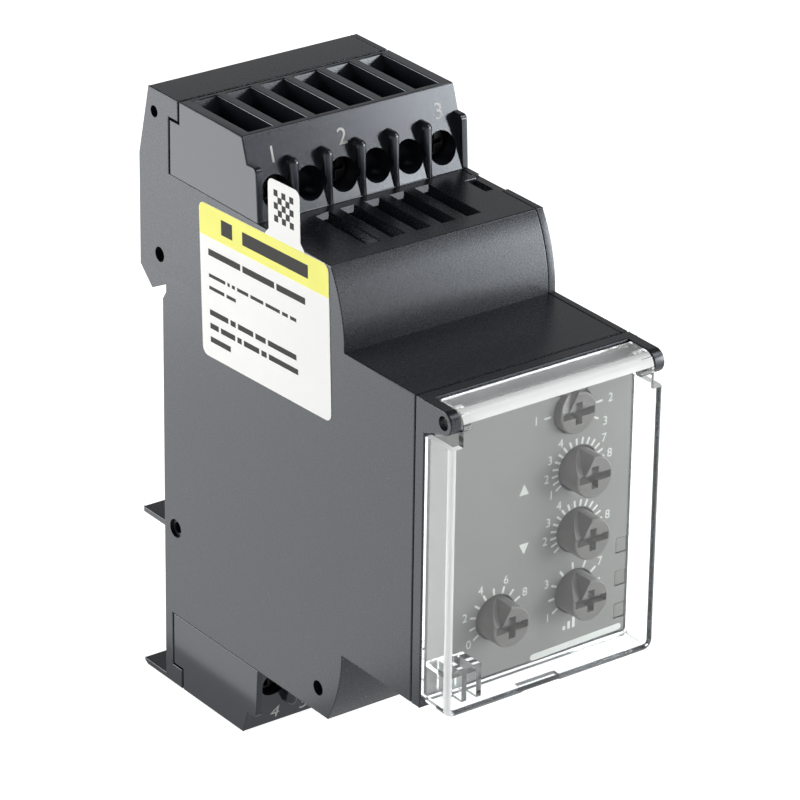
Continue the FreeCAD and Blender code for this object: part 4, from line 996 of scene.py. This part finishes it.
class RELAY_OT_clamps(bpy.types.Operator):
    """Clamp screws with their threads, rising cages and contact bars"""

    bl_idname = "relay.clamps"
    bl_label = "Clamps"

    def execute(self, context):
        zinc = drawn_metal("black_zinc_steel", "4b4b4a", roughness=0.34, grain=0.12 * MM)
        tree = thread_tree()
        length = THREAD_LENGTH * MM
        values = {"Turns": length / context.scene.relay_sizes.thread_pitch, "Height": length,
                  "Radius": THREAD_RADIUS * MM, "Ridge": THREAD_RIDGE * MM, "Metal": zinc}
        lying = Matrix.Rotation(-math.pi / 2, 4, "X")
        for mark in CLAMPS:
            screw = "terminal_screw_" + mark
            cage = "terminal_cage_" + mark
            dress(screw, zinc, "screw_" + mark, SCREW_ROUND * MM, "blank")
            dress(cage, zinc, "cage_" + mark, CAGE_ROUND * MM, "folding")
            low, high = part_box(screw)
            middle = (low + high) / 2
            end = Vector((middle.x, high.y - length - THREAD_END * MM, middle.z))
            work = bmesh.new()
            add_mesh(work, grown(tree, values), Matrix.Translation(end) @ lying)
            bmesh.ops.recalc_face_normals(work, faces=work.faces)
            make_piece("screw_thread_" + mark, work, [zinc], "screw_" + mark,
                       weighted=False)
        brass = drawn_metal("tinned_brass", "c3a86a", roughness=0.3, grain=0.15 * MM)
        for node in ("upper_contacts", "lower_contacts"):
            paint(node, brass)
        return {"FINISHED"}


class RELAY_OT_rail_clip(bpy.types.Operator):
    """Rail clip and its spring at the back"""

    bl_idname = "relay.rail_clip"
    bl_label = "Rail Clip"

    def execute(self, context):
        dress("rail_clip", clip_acetal(), "clip", CLIP_ROUND * MM)
        steel = drawn_metal("spring_steel", "8f9092", roughness=0.28, grain=0.1 * MM)
        spring = dress("clip_spring", steel, "housing", 0.0, "strip")
        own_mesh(spring)
        return {"FINISHED"}


class RELAY_OT_inside(bpy.types.Operator):
    """Boards and components inside the case"""

    bl_idname = "relay.inside"
    bl_label = "Inside"

    def execute(self, context):
        groups = (
            (coated_laminate(),
             ("front_circuit_board", "main_circuit_board", "upper_terminal_board", "lower_terminal_board")),
            (moulded_body("black_epoxy", "17181a"),
             ("board_header", "output_relay_1", "output_relay_2", "film_capacitor_1", "film_capacitor_2")),
            (moulded_body("blue_epoxy", "234f86"),
             ("varistor_1", "varistor_2", "varistor_3", "range_switch", "over_voltage_potentiometer",
              "under_voltage_potentiometer", "asymmetry_potentiometer", "delay_potentiometer")),
            (drawn_metal("aluminium_can", "c9cacc", roughness=0.3, grain=0.2 * MM),
             ("storage_capacitor",)),
        )
        for material, nodes in groups:
            for node in nodes:
                paint(node, material)
        return {"FINISHED"}


def add_floor():
    """Large pale sheet under the part, white to the eye but still shaded under the part."""
    ground = CAD_BOX[0].z - FLOOR_GAP
    work = bmesh.new()
    work.faces.new([work.verts.new((x, y, ground)) for x, y in rectangle(2 * FLOOR_REACH, 2 * FLOOR_REACH)])
    mesh = bpy.data.meshes.new("floor")
    work.to_mesh(mesh)
    work.free()
    material = bpy.data.materials.new("studio_paper")
    material.use_nodes = True
    tree = material.node_tree
    tree.nodes.clear()
    paper = add(tree, "ShaderNodeBsdfDiffuse", {"Color": linear("d4d4d4")})
    path = add(tree, "ShaderNodeLightPath").outputs
    seen = add(tree, "ShaderNodeMath", {1: FLOOR_SEEN}, {0: path["Is Camera Ray"]}, operation="MULTIPLY")
    through = add(tree, "ShaderNodeMath", {1: FLOOR_THROUGH},
                  {0: path["Is Transmission Ray"], 2: seen.outputs[0]}, operation="MULTIPLY_ADD")
    level = add(tree, "ShaderNodeMath", {1: FLOOR_MIRRORED},
                {0: path["Is Glossy Ray"], 2: through.outputs[0]}, operation="MULTIPLY_ADD")
    glow = add(tree, "ShaderNodeEmission", {"Color": linear("ffffff")}, {"Strength": level.outputs[0]})
    both = add(tree, "ShaderNodeAddShader", None, {0: paper.outputs[0], 1: glow.outputs[0]})
    add(tree, "ShaderNodeOutputMaterial", links={"Surface": both.outputs[0]})
    mesh.materials.append(material)
    floor = linked("floor", mesh)


def add_world(scene):
    """Soft light from all round, bright near the ground and darker overhead, white to the eye."""
    world = bpy.data.worlds.new("studio")
    world.use_nodes = True
    tree = world.node_tree
    path = add(tree, "ShaderNodeLightPath").outputs
    way = add(tree, "ShaderNodeTexCoord").outputs["Generated"]
    climb = add(tree, "ShaderNodeSeparateXYZ", None, {0: way}).outputs["Z"]
    sky = add(tree, "ShaderNodeMapRange",
              {"From Min": SKY_CLIMB[0], "From Max": SKY_CLIMB[1], "To Min": SKY_LOW, "To Max": SKY_HIGH},
              {"Value": climb})
    through = add(tree, "ShaderNodeMath", {1: SKY_THROUGH},
                  {0: path["Is Transmission Ray"], 2: sky.outputs[0]}, operation="MULTIPLY_ADD")
    level = add(tree, "ShaderNodeMath", None, {0: through.outputs[0], 1: path["Is Camera Ray"]},
                operation="MAXIMUM")
    background = tree.nodes["Background"]
    background.inputs["Color"].default_value = linear("ffffff")
    tree.links.new(level.outputs[0], background.inputs["Strength"])
    scene.world = world


def add_lamp(name, place, width, height, radiance):
    """Softbox that faces the part."""
    data = bpy.data.lights.new(name, "AREA")
    data.shape = "RECTANGLE"
    data.size = width
    data.size_y = height
    data.energy = radiance * math.pi * width * height
    lamp = linked(name, data)
    lamp.location = place
    aim = Vector(LAMP_AIM) - Vector(place)
    lamp.rotation_mode = "QUATERNION"
    lamp.rotation_quaternion = aim.to_track_quat("-Z", "Y")
    lamp.visible_camera = False


def add_card(name, place, width, radiance):
    """Bright card lying on the floor, which the left wall mirrors."""
    data = bpy.data.lights.new(name, "AREA")
    data.size = width
    data.energy = radiance * math.pi * width * width
    card = linked(name, data)
    card.location = (*place, CAD_BOX[0].z + CARD_LIFT)
    card.rotation_euler = (math.pi, 0, 0)
    card.visible_camera = False


def add_camera(scene):
    """Long lens from the left front, a little above."""
    data = bpy.data.cameras.new("camera")
    data.lens = LENS
    data.sensor_width = SENSOR
    data.clip_start, data.clip_end = CLIPPING
    matrix = Matrix((CAMERA_RIGHT, CAMERA_UP, CAMERA_BACK)).transposed().to_4x4()
    matrix.translation = Vector(CAMERA_PLACE) * MM
    camera = linked("camera", data)
    camera.matrix_world = matrix
    scene.camera = camera


class RELAY_OT_stage(bpy.types.Operator):
    """Pale floor, soft studio lamps, world and camera"""

    bl_idname = "relay.stage"
    bl_label = "Stage"

    def execute(self, context):
        add_floor()
        add_world(context.scene)
        for softbox in SOFTBOXES:
            add_lamp(*softbox)
        for card in CARDS:
            add_card(*card)
        add_camera(context.scene)
        context.scene.view_settings.view_transform = "Standard"
        return {"FINISHED"}


class RELAY_PT_sidebar(bpy.types.Panel):
    """Relay tools in the sidebar"""

    bl_label = "Relay"
    bl_idname = "RELAY_PT_sidebar"
    bl_space_type = "VIEW_3D"
    bl_region_type = "UI"
    bl_category = "Relay"

    def draw(self, context):
        layout = self.layout
        for operator in OPERATORS:
            layout.operator(operator.bl_idname)
        for group in (context.scene.relay_sizes, context.scene.relay_colours):
            for name in group.__annotations__:
                layout.prop(group, name)


OPERATORS = (RELAY_OT_case, RELAY_OT_clear_parts, RELAY_OT_dials, RELAY_OT_scales,
             RELAY_OT_terminal_numbers, RELAY_OT_label, RELAY_OT_clamps, RELAY_OT_rail_clip,
             RELAY_OT_inside, RELAY_OT_stage)
CLASSES = (RelaySizes, RelayColours) + OPERATORS + (RELAY_PT_sidebar,)


def register():
    """Adds the classes and hangs both groups of settings on the scene."""
    for kind in CLASSES:
        bpy.utils.register_class(kind)
    bpy.types.Scene.relay_sizes = bpy.props.PointerProperty(type=RelaySizes)
    bpy.types.Scene.relay_colours = bpy.props.PointerProperty(type=RelayColours)


def unregister():
    """Takes the settings and the classes away again."""
    del bpy.types.Scene.relay_colours
    del bpy.types.Scene.relay_sizes
    for kind in reversed(CLASSES):
        bpy.utils.unregister_class(kind)


def main():
    """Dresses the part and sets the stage."""
    register()
    for operator in OPERATORS:
        family, action = operator.bl_idname.split(".")
        getattr(getattr(bpy.ops, family), action)()


if __name__ == "__main__":
    main()
